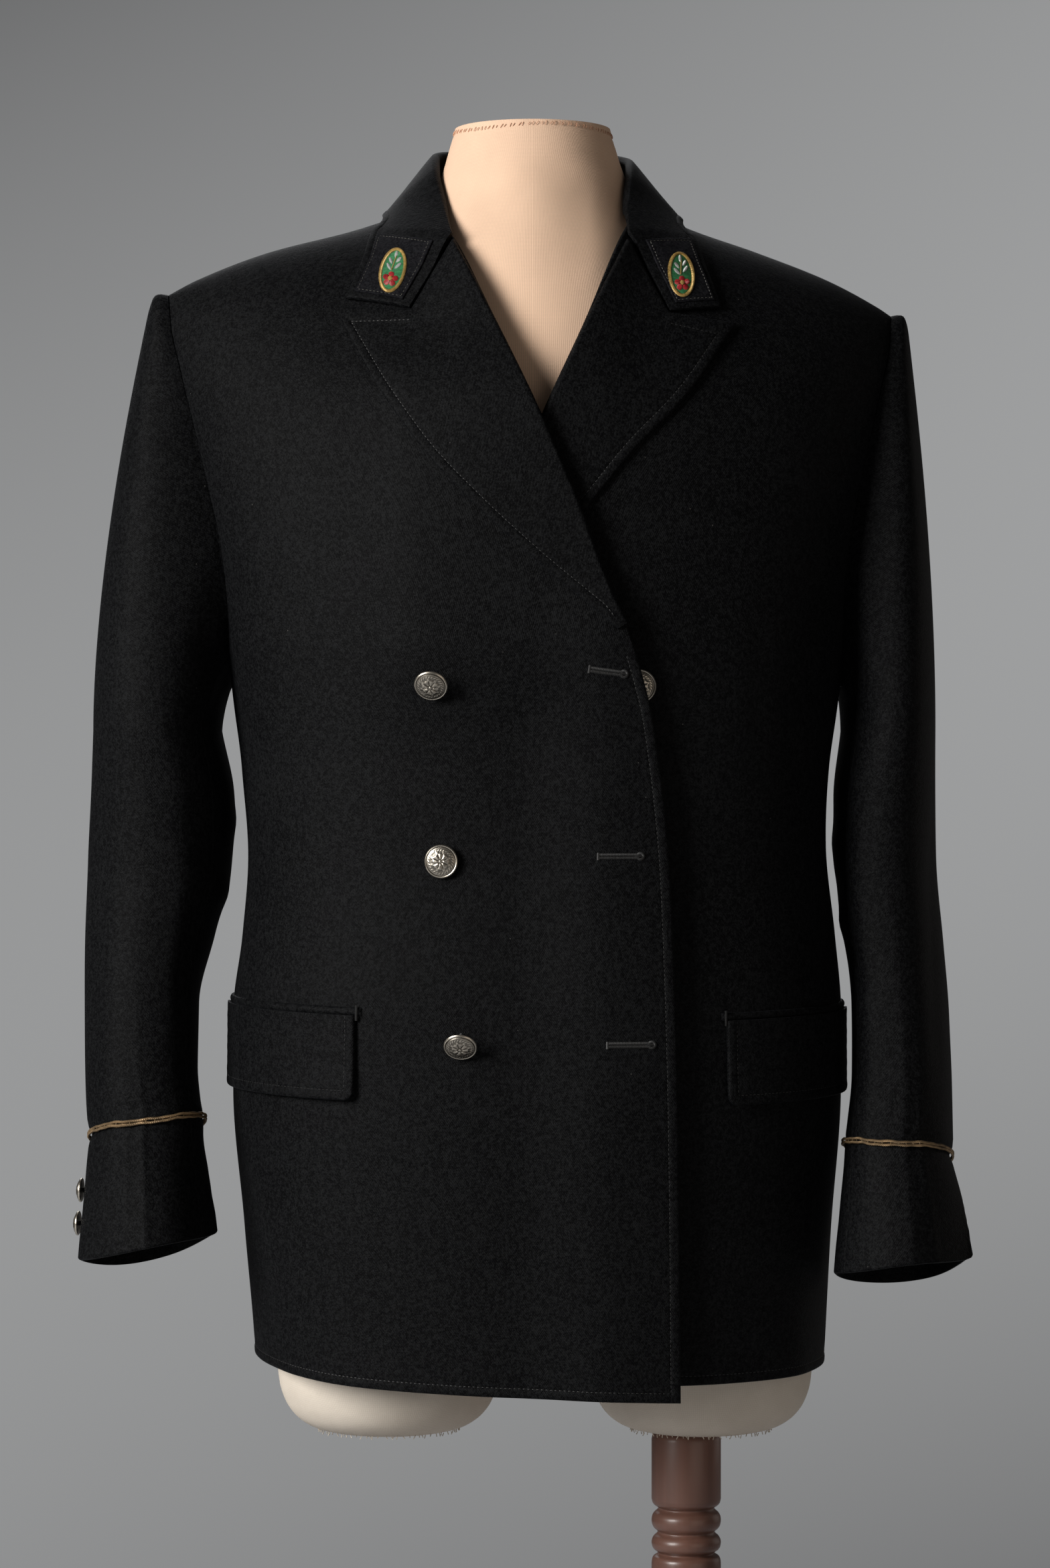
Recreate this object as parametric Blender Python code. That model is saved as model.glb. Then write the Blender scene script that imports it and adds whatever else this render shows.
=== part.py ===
"""Double-breasted wool jacket on a limbless dress form with a turned wooden stand.

+X is the viewer's right, the jacket's front faces -Y, +Z is up and z = 0 is the floor. Sizes and
tables are in millimetres and degrees, and add_mesh turns them into metres. Left and right in the
names are the wearer's: the right front lies outside and is at -X.
"""

import bmesh
import bpy
import numpy as np
from mathutils import Vector

MM = 0.001

# Cloth
WALL = 2.0
FOLDED_WALL = 2.6
GAP = 0.35
LAID_GAP = 0.9
LAPEL_GAP = 1.25
LAPEL_ROLL = 1.2
LAPEL_TOP_RISE = 0.8
BRAID_GAP = 0.8
FRONTS_GAP = 1.1
COLLAR_LIFT = 5.0
COLLAR_SWELL = 1.8
BUTTONS_LIFT = 8.2
PATCH_THICK = 0.9
BADGE_THICK = 1.2

# Body of the jacket: superellipse rings up to the armpit, then a quarter turn over the shoulder
ROUND = 2.4
FULL = 2.3
ARMPIT = 1140.0
TURN_RUN = 260.0
SHOULDER = ARMPIT + TURN_RUN
SHOULDER_GAP = 0.2
SIDE_SEAM = 100.0
MIDDLE_SEAM_ANGLE = 0.014
MEETING_X = 5.0

# Stand
POLE_X = 102.0
POLE_TOP = 621.6
BASE_RADIUS = 236.0
BASE_THICK = 30.0


class Table:
    """Rows of numbers in named columns, read between the rows along a smooth curve."""

    def __init__(self, names, *rows):
        self.rows = np.array(rows, float)
        if self.rows.shape[1] != len(names.split()):
            raise ValueError(f"the rows do not match the columns {names}")
        steps = np.diff(self.rows[:, 0])[:, None]
        slopes = np.diff(self.rows[:, 1:], axis=0) / steps
        before, after = slopes[:-1], slopes[1:]
        same_way = before * after > 0
        total = np.where(same_way, before + after, 1.0)
        inner = np.where(same_way, 2 * before * after / total, 0.0)
        self.slopes = np.vstack([slopes[:1], inner, slopes[-1:]])

    def __call__(self, at):
        keys, values = self.rows[:, 0], self.rows[:, 1:]
        at = np.clip(np.asarray(at, float), keys[0], keys[-1])
        row = np.clip(np.searchsorted(keys, at, side="right") - 1, 0, len(keys) - 2)
        step = (keys[row + 1] - keys[row])[..., None]
        t = (at - keys[row])[..., None] / step
        ease = t * t * (3 - 2 * t)
        found = values[row] * (1 - ease) + values[row + 1] * ease
        found = found + step * t * (1 - t) ** 2 * self.slopes[row]
        found = found - step * t * t * (1 - t) * self.slopes[row + 1]
        columns = np.moveaxis(found, -1, 0)
        return columns[0] if len(columns) == 1 else columns


BODY = Table(
    "level half_width front back centre",
    (640, 187, 137, 116, 6),
    (670, 188, 138, 118, 6),
    (759, 194, 142, 123, 4),
    (850, 201, 145, 122, 3),
    (900, 201, 145, 118, 3),
    (950, 196, 142, 108, 4),
    (1010, 191, 138, 100, 3),
    (1060, 193, 138, 104, 2),
    (1100, 198, 140, 112, 2),
    (1140, 204, 141, 118, 2),
    (1174, 211, 141, 122, 1),
    (1208, 221, 140, 124, 0),
    (1267, 236, 138, 124, -1),
    (1320, 244, 135, 122, -1.5),
    (1400, 247, 130, 118, -2),
)

RIDGE = Table(
    "x height",
    (-242, 1374),
    (-223, 1384),
    (-176, 1402),
    (-111, 1419),
    (-72, 1435),
    (-36, 1478),
    (0, 1500),
    (36, 1478),
    (72, 1434),
    (101, 1419),
    (149, 1402),
    (195, 1384),
    (229, 1366),
    (238, 1360),
)

# Share of the way up the armhole, from the side seam to the shoulder tip
ARMHOLE = Table(
    "share level front_angle back_angle",
    (0.0, 1125, 100, 100),
    (0.1, 1130, 86, 108),
    (0.22, 1150, 77, 112),
    (0.38, 1186, 74.5, 113),
    (0.6, 1255, 74.5, 113),
    (0.8, 1322, 75, 110),
    (1.0, SHOULDER, 75, 105),
)

# Edge of the outer front: rows 0 to 1 are hem to break point, and 1 to 2 roll line and neckline
FRONT_EDGE = Table(
    "row x z",
    (0.0, 91, 658),
    (0.35, 89.5, 820),
    (0.7, 85, 980),
    (0.9, 75, 1085),
    (1.0, 62, 1137),
    (1.13, 45, 1184),
    (1.26, 28, 1229),
    (1.4, 5, 1284),
    (1.54, -23, 1345),
    (1.68, -51, 1403),
    (1.79, -63, 1420),
    (1.89, -69, 1430),
    (2.0, -71, 1435),
)
NECK_POINT_X = 71.0
NECK_BACK_Y = 72.0
HEM_SIDE = {"right": 676.0, "left": 672.0}
HEM_BACK = 674.0
HEM_BEND = {"right": 1.4, "left": 1.0}
HEM_SAG = {"right": 3.0, "left": 4.5}
UNDER_HEM_FRONT = 671.0

# Lapels: share of the way up, roll line and outer edge
RIGHT_LAPEL = Table(
    "share roll_x roll_z edge_x edge_z",
    (0.0, 57, 1151, 52, 1148),
    (0.16, 44, 1184, 33, 1164.5),
    (0.34, 29, 1226, 2, 1190.5),
    (0.52, 9, 1274, -32, 1222),
    (0.7, -12, 1322, -64, 1256),
    (0.85, -31, 1362, -95, 1298),
    (1.0, -50, 1401, -128, 1357),
)
LEFT_LAPEL = Table(
    "share roll_x roll_z edge_x edge_z",
    (0.0, -46, 1151, -41, 1148),
    (0.16, -33, 1184, -22, 1165),
    (0.34, -17, 1226, 5, 1193),
    (0.52, 3, 1277, 34, 1225),
    (0.7, 22, 1320, 64, 1262),
    (0.85, 42, 1364, 97, 1297),
    (1.0, 60, 1402, 130, 1346),
)
# Top edge of a lapel: shares of its width, with the notch where the collar meets it
RIGHT_NOTCH = (-77.5, 1354.0)
LEFT_NOTCH = (87.0, 1352.0)
NOTCH_SHARE = 0.48

# Collar stations from the right front end round the back of the neck to the left one. The first
# three at each end lie on the fronts, as x and z seen from the front; the others are plan points
COLLAR_ENDS = Table(
    "station inner_x inner_z outer_x outer_z",
    (0, -78.5, 1355.5, -117.5, 1362.5),
    (1, -65, 1379, -107.5, 1388),
    (2, -51.5, 1404, -99, 1413),
    (14, 61.5, 1406, 99, 1409),
    (15, 75, 1380, 110, 1382),
    (16, 87.5, 1353.5, 118.5, 1356),
)
COLLAR_RING = Table(
    "station crease_x crease_y crease_z seam_x seam_y outer_x outer_y",
    (3, -60, -46, 1432, -64.5, -43, -98.5, -26),
    (4, -66, -20, 1455, -68.5, -18, -100, 0),
    (5, -67, 8, 1468, -69, 10, -98, 17),
    (6, -60, 36, 1474, -61.5, 36, -85, 36),
    (7, -36, 60, 1477, -38, 60, -50, 63),
    (8, 0, 68, 1478, 0, 69, 0, 80),
    (9, 36, 60, 1476, 38, 60, 50, 63),
    (10, 60, 36, 1471, 61.5, 36, 85, 36),
    (11, 67, 8, 1464, 69, 10, 98, 17),
    (12, 66, -20, 1452, 68.5, -18, 100.5, 0),
    (13, 62.5, -46, 1431, 64.5, -43, 99, -26),
)
STAND_ENDS = (3.4, 12.6)
STAND_BEHIND = 3.0
STAND_BELOW = 4.4
EDGE_RISE = 2.6
SEAM_RISE = 3.2

# Patches and badges, by collar station and by share of the fall's height
PATCH_ENDS = {"right": (0.14, 1.22), "left": (14.15, 15.86)}
PATCH_EDGE = 0.13
BADGE_HALF = (0.46, 0.21)

# Sleeves, by the height of the section's middle. The side's sign is put on x by the table itself
SLEEVE_TOP = 1085.0
RIGHT_SLEEVE = Table(
    "down outer_x inner_x middle_y half_depth tilt twist slant",
    (0, -291, -206, 2, 72, 0, 0, 0),
    (45, -293, -198, 5, 70, 0, 0, 0),
    (85, -295, -199, 4, 66, 3, 2, 0),
    (135, -296, -210, -6, 60, 9, 5, 1),
    (183, -295, -220, -19, 54, 14, 6, 3),
    (223, -293.5, -220, -31, 51, 16.5, 6, 4),
    (250, -291.5, -217.5, -38, 49.5, 17, 6, 5),
    (259, -289, -215.5, -40.5, 48, 17, 6, 5),
    (268, -290.5, -215.5, -43, 48.5, 17, 6, 5),
    (295, -292.5, -211.5, -50, 49, 17.5, 6, 6.5),
    (335, -295.5, -204.5, -62, 50, 18, 6, 8.5),
)
LEFT_SLEEVE = Table(
    "down outer_x inner_x middle_y half_depth tilt twist slant",
    (0, 267, 205, 2, 76, 0, 0, 0),
    (45, 267.5, 200, 4, 74, 0, -2, 0),
    (85, 268, 200, 2, 69, 3, -5, 0),
    (135, 271, 206, -8, 62, 9, -9, 0),
    (183, 273.5, 211, -21, 57, 14, -12, 1),
    (230, 274.5, 210, -35, 53, 16.5, -12, 1),
    (264, 274.5, 206, -44, 51, 17, -12, 2),
    (273, 272.5, 204.5, -47, 49.5, 17, -12, 2),
    (282, 274.5, 204, -49, 50, 17, -12, 1),
    (307, 280, 200.5, -57, 50.5, 17.5, -12, -2),
    (347, 286, 195, -68, 51, 18, -12, -7),
)
SLEEVE_ROUND = 2.15
BACK_SEAM = -34.0
FRONT_SEAM = 138.0
SEAM_ANGLE = 0.28
CAP_GAP = 0.5
CAP_OUT = 27.0
CAP_OUT_MORE = 18.0
CAP_RISE = 10.0
CAP_FALL = 1.15
BRAID_DOWN = {"right": 259.0, "left": 273.0}
BRAID_WIDE = 5.5
BRAID_THICK = 1.8

# Pocket flaps, by angle round the body
FLAP_FRONT = {"right": 30.5, "left": 32.5}
FLAP_BACK = 88.0
FLAP_TOP = {"right": (903.0, 907.0), "left": (899.5, 903.0)}
FLAP_DEEP = 54.0
FLAP_STAND_OFF = 2.2
FLAP_CORNER = 7.0
WELT_RISE = 0.6
WELT_HIGH = 5.0
WELT_THICK = 1.3

# Buttons: x and z seen from the front, tilt downwards and length of the thread shank
FRONT_BUTTON_RADIUS = 10.8
BUTTON_GAP = 0.45
FRONT_BUTTONS = (
    ("right_top", -62.0, 1117.0, 33.0, 7.4),
    ("right_middle", -57.0, 1001.0, 4.0, 2.4),
    ("right_bottom", -44.5, 891.5, 42.0, 9.6),
    ("left_top", 67.0, 1112.0, 0.0, 1.6),
    ("left_middle", 67.0, 1001.0, 0.0, 1.6),
    ("left_bottom", 66.0, 884.0, 0.0, 1.6),
)
CUFF_BUTTON_RADIUS = 8.0
CUFF_SHANK = 1.8
SHANK_RADIUS = 1.7
CUFF_BUTTON_ANGLE = {"right": -14.0, "left": -50.0}
CUFF_BUTTONS_DOWN = {"right": (291.0, 311.0), "left": (312.0, 332.0)}

# Dress form
FORM_BODY = Table(
    "level half_width front back centre",
    (715, 175, 116, 98, 8),
    (800, 177, 120, 102, 7),
    (900, 170, 116, 96, 5),
    (1000, 158, 108, 80, 3),
    (1080, 165, 114, 90, 2),
    (1140, 174, 124, 99, 1),
    (1270, 196, 118, 98, 0),
    (1400, 214, 104, 92, -1),
)
NECK_RADIUS = Table(
    "height radius",
    (1340, 5),
    (1372, 40),
    (1400, 58),
    (1425, 62.5),
    (1444, 62),
    (1462, 57.5),
    (1486, 51),
)
FORM_ROUND = 2.2
FORM_DROP = 2.7
FORM_NECK_DROP = 4.0
NECK_BLEND = 14.0
FORM_FOOT_X = 8.0
NECK_CAP_RISE = (1.6, 2.2)
FORM_LEVELS = (
    715, 750, 820, 900, 980, 1060, 1140, 1210, 1270, 1315, 1345,
    1365, 1380, 1391, 1400, 1408, 1416, 1424, 1432, 1441, 1454, 1470, 1485,
)
STUMPS = (("right", -95.0), ("left", 111.5))
STUMP_HALF = (73.5, 69.0)
STUMP_Y = -8.0
STUMP_PROFILE = (
    (0.0, 622.0), (0.38, 622.0), (0.62, 624.5), (0.8, 631.0), (0.92, 642.0), (0.98, 656.0),
    (1.0, 675.0), (1.0, 745.0), (0.0, 745.0),
)


def material(name, colour, roughness, metallic=0.0):
    made = bpy.data.materials.new(name)
    made.use_nodes = True
    shader = made.node_tree.nodes["Principled BSDF"]
    shader.inputs["Base Color"].default_value = (*colour, 1.0)
    shader.inputs["Roughness"].default_value = roughness
    shader.inputs["Metallic"].default_value = metallic
    return made


def add_mesh(name, points, faces, finish, smooth_angle=40.0):
    """One object from points in millimetres, with its faces turned outwards."""
    mesh = bpy.data.meshes.new(name)
    mesh.from_pydata((np.asarray(points, float) * MM).tolist(), [], faces)
    shape = bmesh.new()
    shape.from_mesh(mesh)
    bmesh.ops.recalc_face_normals(shape, faces=shape.faces)
    if shape.calc_volume(signed=True) < 0:
        bmesh.ops.reverse_faces(shape, faces=shape.faces)
    shape.to_mesh(mesh)
    shape.free()
    mesh.shade_smooth()
    mesh.set_sharp_from_angle(angle=np.radians(smooth_angle))
    mesh.materials.append(finish)
    made = bpy.data.objects.new(name, mesh)
    bpy.context.scene.collection.objects.link(made)
    return made


def signed_power(base, power):
    return np.sign(base) * np.abs(base) ** power


def smooth_step(low, high, value):
    t = np.clip((value - low) / (high - low), 0.0, 1.0)
    return t * t * (3 - 2 * t)


def mixed(a, b, share):
    return a + (b - a) * share


def stacked(x, y, z):
    return np.stack(np.broadcast_arrays(x, y, z), axis=-1)


def body(angle, level):
    """Outer face of the body cloth. Angle 0 is the middle front, 90 the +X side, 180 the back."""
    half, front, back, centre = BODY(level)
    around = np.radians(angle)
    turn = np.radians(90.0) * np.maximum(level - ARMPIT, 0.0) / TURN_RUN
    x = centre + half * signed_power(np.sin(around), 2 / ROUND)
    deep = signed_power(np.cos(around), 2 / ROUND)
    raised = ARMPIT + (RIDGE(x) - ARMPIT) * np.abs(np.sin(turn)) ** (2 / FULL)
    z = np.where(level < ARMPIT, level, raised)
    return stacked(x, -np.where(deep > 0, front, back) * deep * np.cos(turn), z)


def locate(x, z):
    """Angle and level of the point of the front that is seen at x, z."""
    share = np.clip((z - ARMPIT) / (RIDGE(x) - ARMPIT), 0.0, 1.0)
    turn = np.degrees(np.arcsin(share ** (FULL / 2)))
    level = np.where(z < ARMPIT, z, ARMPIT + TURN_RUN * turn / 90.0)
    half, _, _, centre = BODY(level)
    across = np.clip((x - centre) / half, -1.0, 1.0)
    return np.degrees(np.arcsin(signed_power(across, ROUND / 2))), level


def over(x, y):
    """Height of the body cloth above a plan point on the shoulders or round the neck."""
    level = np.full(np.shape(x), SHOULDER - 60.0)
    for _ in range(12):
        half, front, back, centre = BODY(level)
        across = np.clip(np.abs((x - centre) / half), 0.0, 1.0)
        deep = np.where(y < 0, front, back) * (1 - across**ROUND) ** (1 / ROUND)
        turn = np.degrees(np.arccos(np.clip(np.abs(y) / deep, 0.0, 1.0)))
        level = ARMPIT + TURN_RUN * turn / 90.0
    return ARMPIT + (RIDGE(x) - ARMPIT) * np.sin(np.radians(turn)) ** (2 / FULL)


def neckline_level(angle):
    """Level at which the back meets the neck seam, or above the shoulder away from the neck."""
    half, _, back, centre = BODY(SHOULDER)
    around = np.radians(angle)
    x = centre + half * signed_power(np.sin(around), 2 / ROUND)
    deep = back * np.abs(np.cos(around)) ** (2 / ROUND)
    seam_y = NECK_BACK_Y * np.sqrt(np.clip(1 - (x / NECK_POINT_X) ** 2, 0, 1))
    return ARMPIT + TURN_RUN * np.degrees(np.arccos(np.clip(seam_y / deep, 0, 1))) / 90


def outer_lift(x, z):
    """How far the outer front stands off the under front, its lapel and its buttons."""
    over_front = (WALL + FRONTS_GAP) * smooth_step(-175.0, -105.0, x) * (1 - smooth_step(1290.0, 1345.0, z))
    beside_lapel = smooth_step(1078.0, 1140.0, z) * (1 - smooth_step(1290.0, 1350.0, z))
    over_lapel = (FOLDED_WALL + 2 * LAPEL_GAP + LAPEL_ROLL) * beside_lapel * smooth_step(-120.0, -68.0, x)
    over_buttons = BUTTONS_LIFT * smooth_step(-12.0, 50.0, x) * (1 - smooth_step(1140.0, 1215.0, z))
    return over_front + np.hypot(over_lapel, over_buttons)


def normals(surface, u, v, away):
    """Normals of a surface, turned so that on the whole they point away from the given places."""
    small_u, small_v = 0.002 * np.ptp(u), 0.002 * np.ptp(v)
    along_u = surface(u + small_u, v) - surface(u - small_u, v)
    along_v = surface(u, v + small_v) - surface(u, v - small_v)
    found = np.cross(along_u, along_v)
    found = found / np.linalg.norm(found, axis=-1, keepdims=True)
    return found * np.sign(np.sum(found * (surface(u, v) - away)))


def grid_faces(rows, columns, start, wraps):
    """Quads of a grid of points, closed round its columns if it wraps."""
    faces = []
    for row in range(rows - 1):
        for column in range(columns if wraps else columns - 1):
            beside = (column + 1) % columns
            low, high = start + row * columns, start + (row + 1) * columns
            faces.append((low + column, low + beside, high + beside, high + column))
    return faces


def wall(name, surface, u, v, outer, inner, finish, away, wraps=False):
    """A cloth wall between two faces, each moved out from a surface along its normals."""
    rows, columns = np.shape(u)
    across = normals(surface, u, v, away)
    middle = surface(u, v)
    outside = middle + across * np.broadcast_to(outer, (rows, columns))[..., None]
    inside = middle + across * np.broadcast_to(inner, (rows, columns))[..., None]
    count = rows * columns
    faces = grid_faces(rows, columns, 0, wraps)
    faces += [face[::-1] for face in grid_faces(rows, columns, count, wraps)]
    for row in (0, rows - 1):
        for column in range(columns if wraps else columns - 1):
            a, b = row * columns + column, row * columns + (column + 1) % columns
            faces.append((a, b, b + count, a + count))
    if not wraps:
        for column in (0, columns - 1):
            for row in range(rows - 1):
                a, b = row * columns + column, (row + 1) * columns + column
                faces.append((a, b, b + count, a + count))
    points = np.concatenate([outside.reshape(-1, 3), inside.reshape(-1, 3)])
    return add_mesh(name, points, faces, finish)


def unit_grid(rows, columns):
    return np.meshgrid(np.linspace(0, 1, rows), np.linspace(0, 1, columns), indexing="ij")


def turned(name, profile, foot, axis, segments, finish):
    """A closed round piece from radius and height pairs along an axis."""
    axis = np.array(Vector(axis).normalized())
    aside = np.cross(axis, (0.0, 1.0, 0.0) if abs(axis[1]) < 0.9 else (1.0, 0.0, 0.0))
    aside = aside / np.linalg.norm(aside)
    third = np.cross(axis, aside)
    points, rings = [], []
    for radius, height in profile:
        middle = np.asarray(foot, float) + axis * height
        if radius == 0:
            rings.append([len(points)])
            points.append(middle)
            continue
        rings.append(list(range(len(points), len(points) + segments)))
        for turn in np.linspace(0, 2 * np.pi, segments, endpoint=False):
            points.append(middle + radius * (np.cos(turn) * aside + np.sin(turn) * third))
    return add_mesh(name, points, ring_faces(rings, segments), finish, 35.0)


def ring_faces(rings, segments):
    """Faces between rings of points, where a ring of one point is a pole."""
    faces = []
    for low, high in zip(rings[:-1], rings[1:]):
        for k in range(segments):
            after = (k + 1) % segments
            if len(low) == 1:
                faces.append((low[0], high[after], high[k]))
            elif len(high) == 1:
                faces.append((low[k], low[after], high[0]))
            else:
                faces.append((low[k], low[after], high[after], high[k]))
    return faces


def front_panel(name, side, finish):
    """One front: hem to break point, then up between the armhole and the roll line."""
    lower_rows, upper_rows, columns = 9, 15, 14
    rows = np.concatenate([np.linspace(0, 1, lower_rows)[:-1], np.linspace(1, 2, upper_rows)])
    outer = side == "right"
    sign = -1.0 if outer else 1.0
    edge_x, edge_z = FRONT_EDGE(rows)
    if not outer:
        edge_x = 2 * MEETING_X * (1 - smooth_step(1.5, 1.9, rows)) - edge_x
        edge_z = edge_z + (UNDER_HEM_FRONT - FRONT_EDGE(0.0)[1]) * (1 - smooth_step(0, 0.6, rows))
    edge_angle, edge_level = locate(edge_x, edge_z)
    armhole_level, armhole_angle, _ = ARMHOLE(np.clip(rows - 1, 0, 1))
    side_level = mixed(HEM_SIDE[side], ARMHOLE(0.0)[0], np.clip(rows, 0, 1))
    seam_level = np.where(rows < 1, side_level, armhole_level)
    seam_angle = sign * (np.where(rows < 1, SIDE_SEAM, armhole_angle) - GAP / 4)
    top_angle, _ = locate(np.array(sign * NECK_POINT_X), RIDGE(sign * NECK_POINT_X))
    edge_angle[-1], edge_level[-1] = top_angle, SHOULDER - SHOULDER_GAP
    seam_level[-1] = SHOULDER - SHOULDER_GAP
    share = np.linspace(0, 1, columns)[None, :]
    angle = mixed(seam_angle[:, None], edge_angle[:, None], share)
    near_hem = (1 - smooth_step(0.0, 0.5, rows))[:, None]
    bent = mixed(share, share ** HEM_BEND[side], near_hem)
    level = mixed(seam_level[:, None], edge_level[:, None], bent)
    level = level - HEM_SAG[side] * np.sin(np.pi * share) * near_hem
    places = body(angle, level)
    lift = outer_lift(places[..., 0], places[..., 2]) if outer else 0.0
    return wall(name, body, angle, level, lift, lift - WALL, finish, (0, 0, 1000))


def back_panel(name, side, finish):
    """Half of the back, from the side seam and armhole to the middle seam."""
    lower_rows, upper_rows, columns = 8, 12, 9
    sign = -1.0 if side == "right" else 1.0
    rows = np.concatenate([np.linspace(0, 1, lower_rows)[:-1], np.linspace(1, 2, upper_rows)])
    armhole_level, _, armhole_angle = ARMHOLE(np.clip(rows - 1, 0, 1))
    side_level = mixed(HEM_SIDE[side], ARMHOLE(0.0)[0], np.clip(rows, 0, 1))
    seam_level = np.where(rows < 1, side_level, armhole_level)
    seam_angle = np.where(rows < 1, SIDE_SEAM, armhole_angle) + GAP / 4
    middle_angle = np.full(len(rows), 180 - MIDDLE_SEAM_ANGLE)
    middle_level = mixed(HEM_BACK, ARMHOLE(0.0)[0], np.clip(rows, 0, 1))
    middle_level = middle_level + np.clip(rows - 1, 0, 1) * (neckline_level(180.0) - middle_level[-1])
    share = np.linspace(0, 1, columns)[None, :]
    angle = mixed(seam_angle[:, None], middle_angle[:, None], share)
    level = mixed(seam_level[:, None], middle_level[:, None], share)
    top = np.minimum(SHOULDER - SHOULDER_GAP, neckline_level(sign * angle))
    pull = np.clip(rows - 1, 0, 1)[:, None] ** 2 * share
    pull[-1] = 1.0
    level = mixed(level, top, pull)
    return wall(name, body, sign * angle, level, 0.0, -WALL, finish, (0, 0, 1000))


def lapel_surface(table, notch):
    """Lapel by share of its width and share of its height, with the notch in its top edge."""

    def surface(across, up):
        roll_x, roll_z, edge_x, edge_z = table(up)
        x, z = mixed(roll_x, edge_x, across), mixed(roll_z, edge_z, across)
        top = table(1.0)
        at_notch = mixed(top[0], top[2], NOTCH_SHARE), mixed(top[1], top[3], NOTCH_SHARE)
        tent = np.where(across < NOTCH_SHARE, across / NOTCH_SHARE, (1 - across) / (1 - NOTCH_SHARE))
        pull = tent * smooth_step(0.72, 1.0, up)
        x = x + (notch[0] - at_notch[0]) * pull
        z = z + (notch[1] - at_notch[1]) * pull
        return body(*locate(x, z))

    return surface


def lapel(name, side, finish):
    table, notch = (RIGHT_LAPEL, RIGHT_NOTCH) if side == "right" else (LEFT_LAPEL, LEFT_NOTCH)
    surface = lapel_surface(table, notch)
    up, across = unit_grid(13, 7)
    places = surface(across, up)
    under = outer_lift(places[..., 0], places[..., 2]) if side == "right" else 0.0
    roll = LAPEL_ROLL * (1 - across) ** 2 * np.sin(np.pi * np.clip(up * 0.9 + 0.1, 0, 1))
    roll = roll + LAPEL_TOP_RISE * smooth_step(0.72, 1.0, up)
    inner = under + LAPEL_GAP + roll
    return wall(name, surface, across, up, inner + FOLDED_WALL, inner, finish, (0, 0, 1000))


def out_and_up(points, rise):
    """Directions away from the neck's axis that also point up by the given share."""
    out = points * (1.0, 1.0, 0.0)
    out = out / np.linalg.norm(out, axis=-1, keepdims=True) + (0.0, 0.0, rise)
    return out / np.linalg.norm(out, axis=-1, keepdims=True)


def collar_lines(station):
    """Inner line, outer edge and neck seam of the collar at a station, as points in space."""
    at_end = np.where(station < 8, np.minimum(station, 2.0), np.maximum(station, 14.0))
    inner_x, inner_z, outer_x, outer_z = COLLAR_ENDS(at_end)
    crease_x, crease_y, crease_z, seam_x, seam_y, edge_x, edge_y = COLLAR_RING(station)
    end_inner = body(*locate(inner_x, inner_z))
    end_outer = body(*locate(outer_x, outer_z))
    end_inner = end_inner + COLLAR_LIFT * out_and_up(end_inner, 0.5)
    end_outer = end_outer + COLLAR_LIFT * out_and_up(end_outer, 0.5)
    ring_inner = stacked(crease_x, crease_y, crease_z)
    ring_outer = stacked(edge_x, edge_y, over(edge_x, edge_y) + COLLAR_LIFT + EDGE_RISE)
    ring_seam = stacked(seam_x, seam_y, over(seam_x, seam_y) + SEAM_RISE)
    share = smooth_step(2.0, 3.0, station) * (1 - smooth_step(13.0, 14.0, station))
    share = share[..., None]
    inner, outer = mixed(end_inner, ring_inner, share), mixed(end_outer, ring_outer, share)
    return inner, outer, mixed(end_inner, ring_seam, share)


def collar_surface(station, rise):
    """The collar's fall: rise 0 is its outer edge and 1 the crease."""
    inner, outer, _ = collar_lines(station)
    flat = mixed(outer, inner, rise[..., None])
    swell = COLLAR_SWELL * np.abs(np.sin(np.pi * rise)) ** 0.8
    return flat + swell[..., None] * out_and_up(flat, 0.6)


def stand_surface(station, rise):
    """The collar's stand: rise 0 is the neck seam and 1 lies under the crease."""
    crease, _, seam = collar_lines(station)
    top = crease - out_and_up(crease, 0.0) * STAND_BEHIND - (0.0, 0.0, STAND_BELOW)
    return mixed(seam, top, rise[..., None])


def collar(finish):
    station, rise = unit_grid(29, 5)
    fall = wall("collar", collar_surface, station * 16, rise, 0.0, -FOLDED_WALL, finish, (0, 0, 1400))
    station, rise = unit_grid(21, 2)
    inside = STAND_ENDS[0] + station * (STAND_ENDS[1] - STAND_ENDS[0])
    stand = wall("collar_stand", stand_surface, inside, rise, 0.0, -WALL, finish, (0, 0, 1400))
    return fall, stand


def round_patch(name, surface, middle, half, lift, finish, cells=4):
    """A thin round piece laid on a surface, from a square grid drawn into a disc."""
    a, b = np.meshgrid(np.linspace(-1, 1, cells + 1), np.linspace(-1, 1, cells + 1), indexing="ij")
    u = middle[0] + half[0] * a * np.sqrt(1 - b * b / 2)
    v = middle[1] + half[1] * b * np.sqrt(1 - a * a / 2)
    return wall(name, surface, u, v, lift[1], lift[0], finish, (0, 0, 1300))


def collar_badges(cloth, thread):
    for side, (low, high) in PATCH_ENDS.items():
        station, rise = unit_grid(7, 5)
        u, v = mixed(low, high, station), mixed(PATCH_EDGE, 1 - PATCH_EDGE, rise)
        lift = (GAP, GAP + PATCH_THICK)
        wall(f"collar_patch_{side}", collar_surface, u, v, lift[1], lift[0], cloth, (0, 0, 1300))
        middle = ((low + high) / 2, 0.5)
        above = (lift[1] + GAP, lift[1] + GAP + BADGE_THICK)
        round_patch(f"collar_badge_{side}", collar_surface, middle, BADGE_HALF, above, thread)


def sleeve_table(side):
    return RIGHT_SLEEVE if side == "right" else LEFT_SLEEVE


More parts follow.
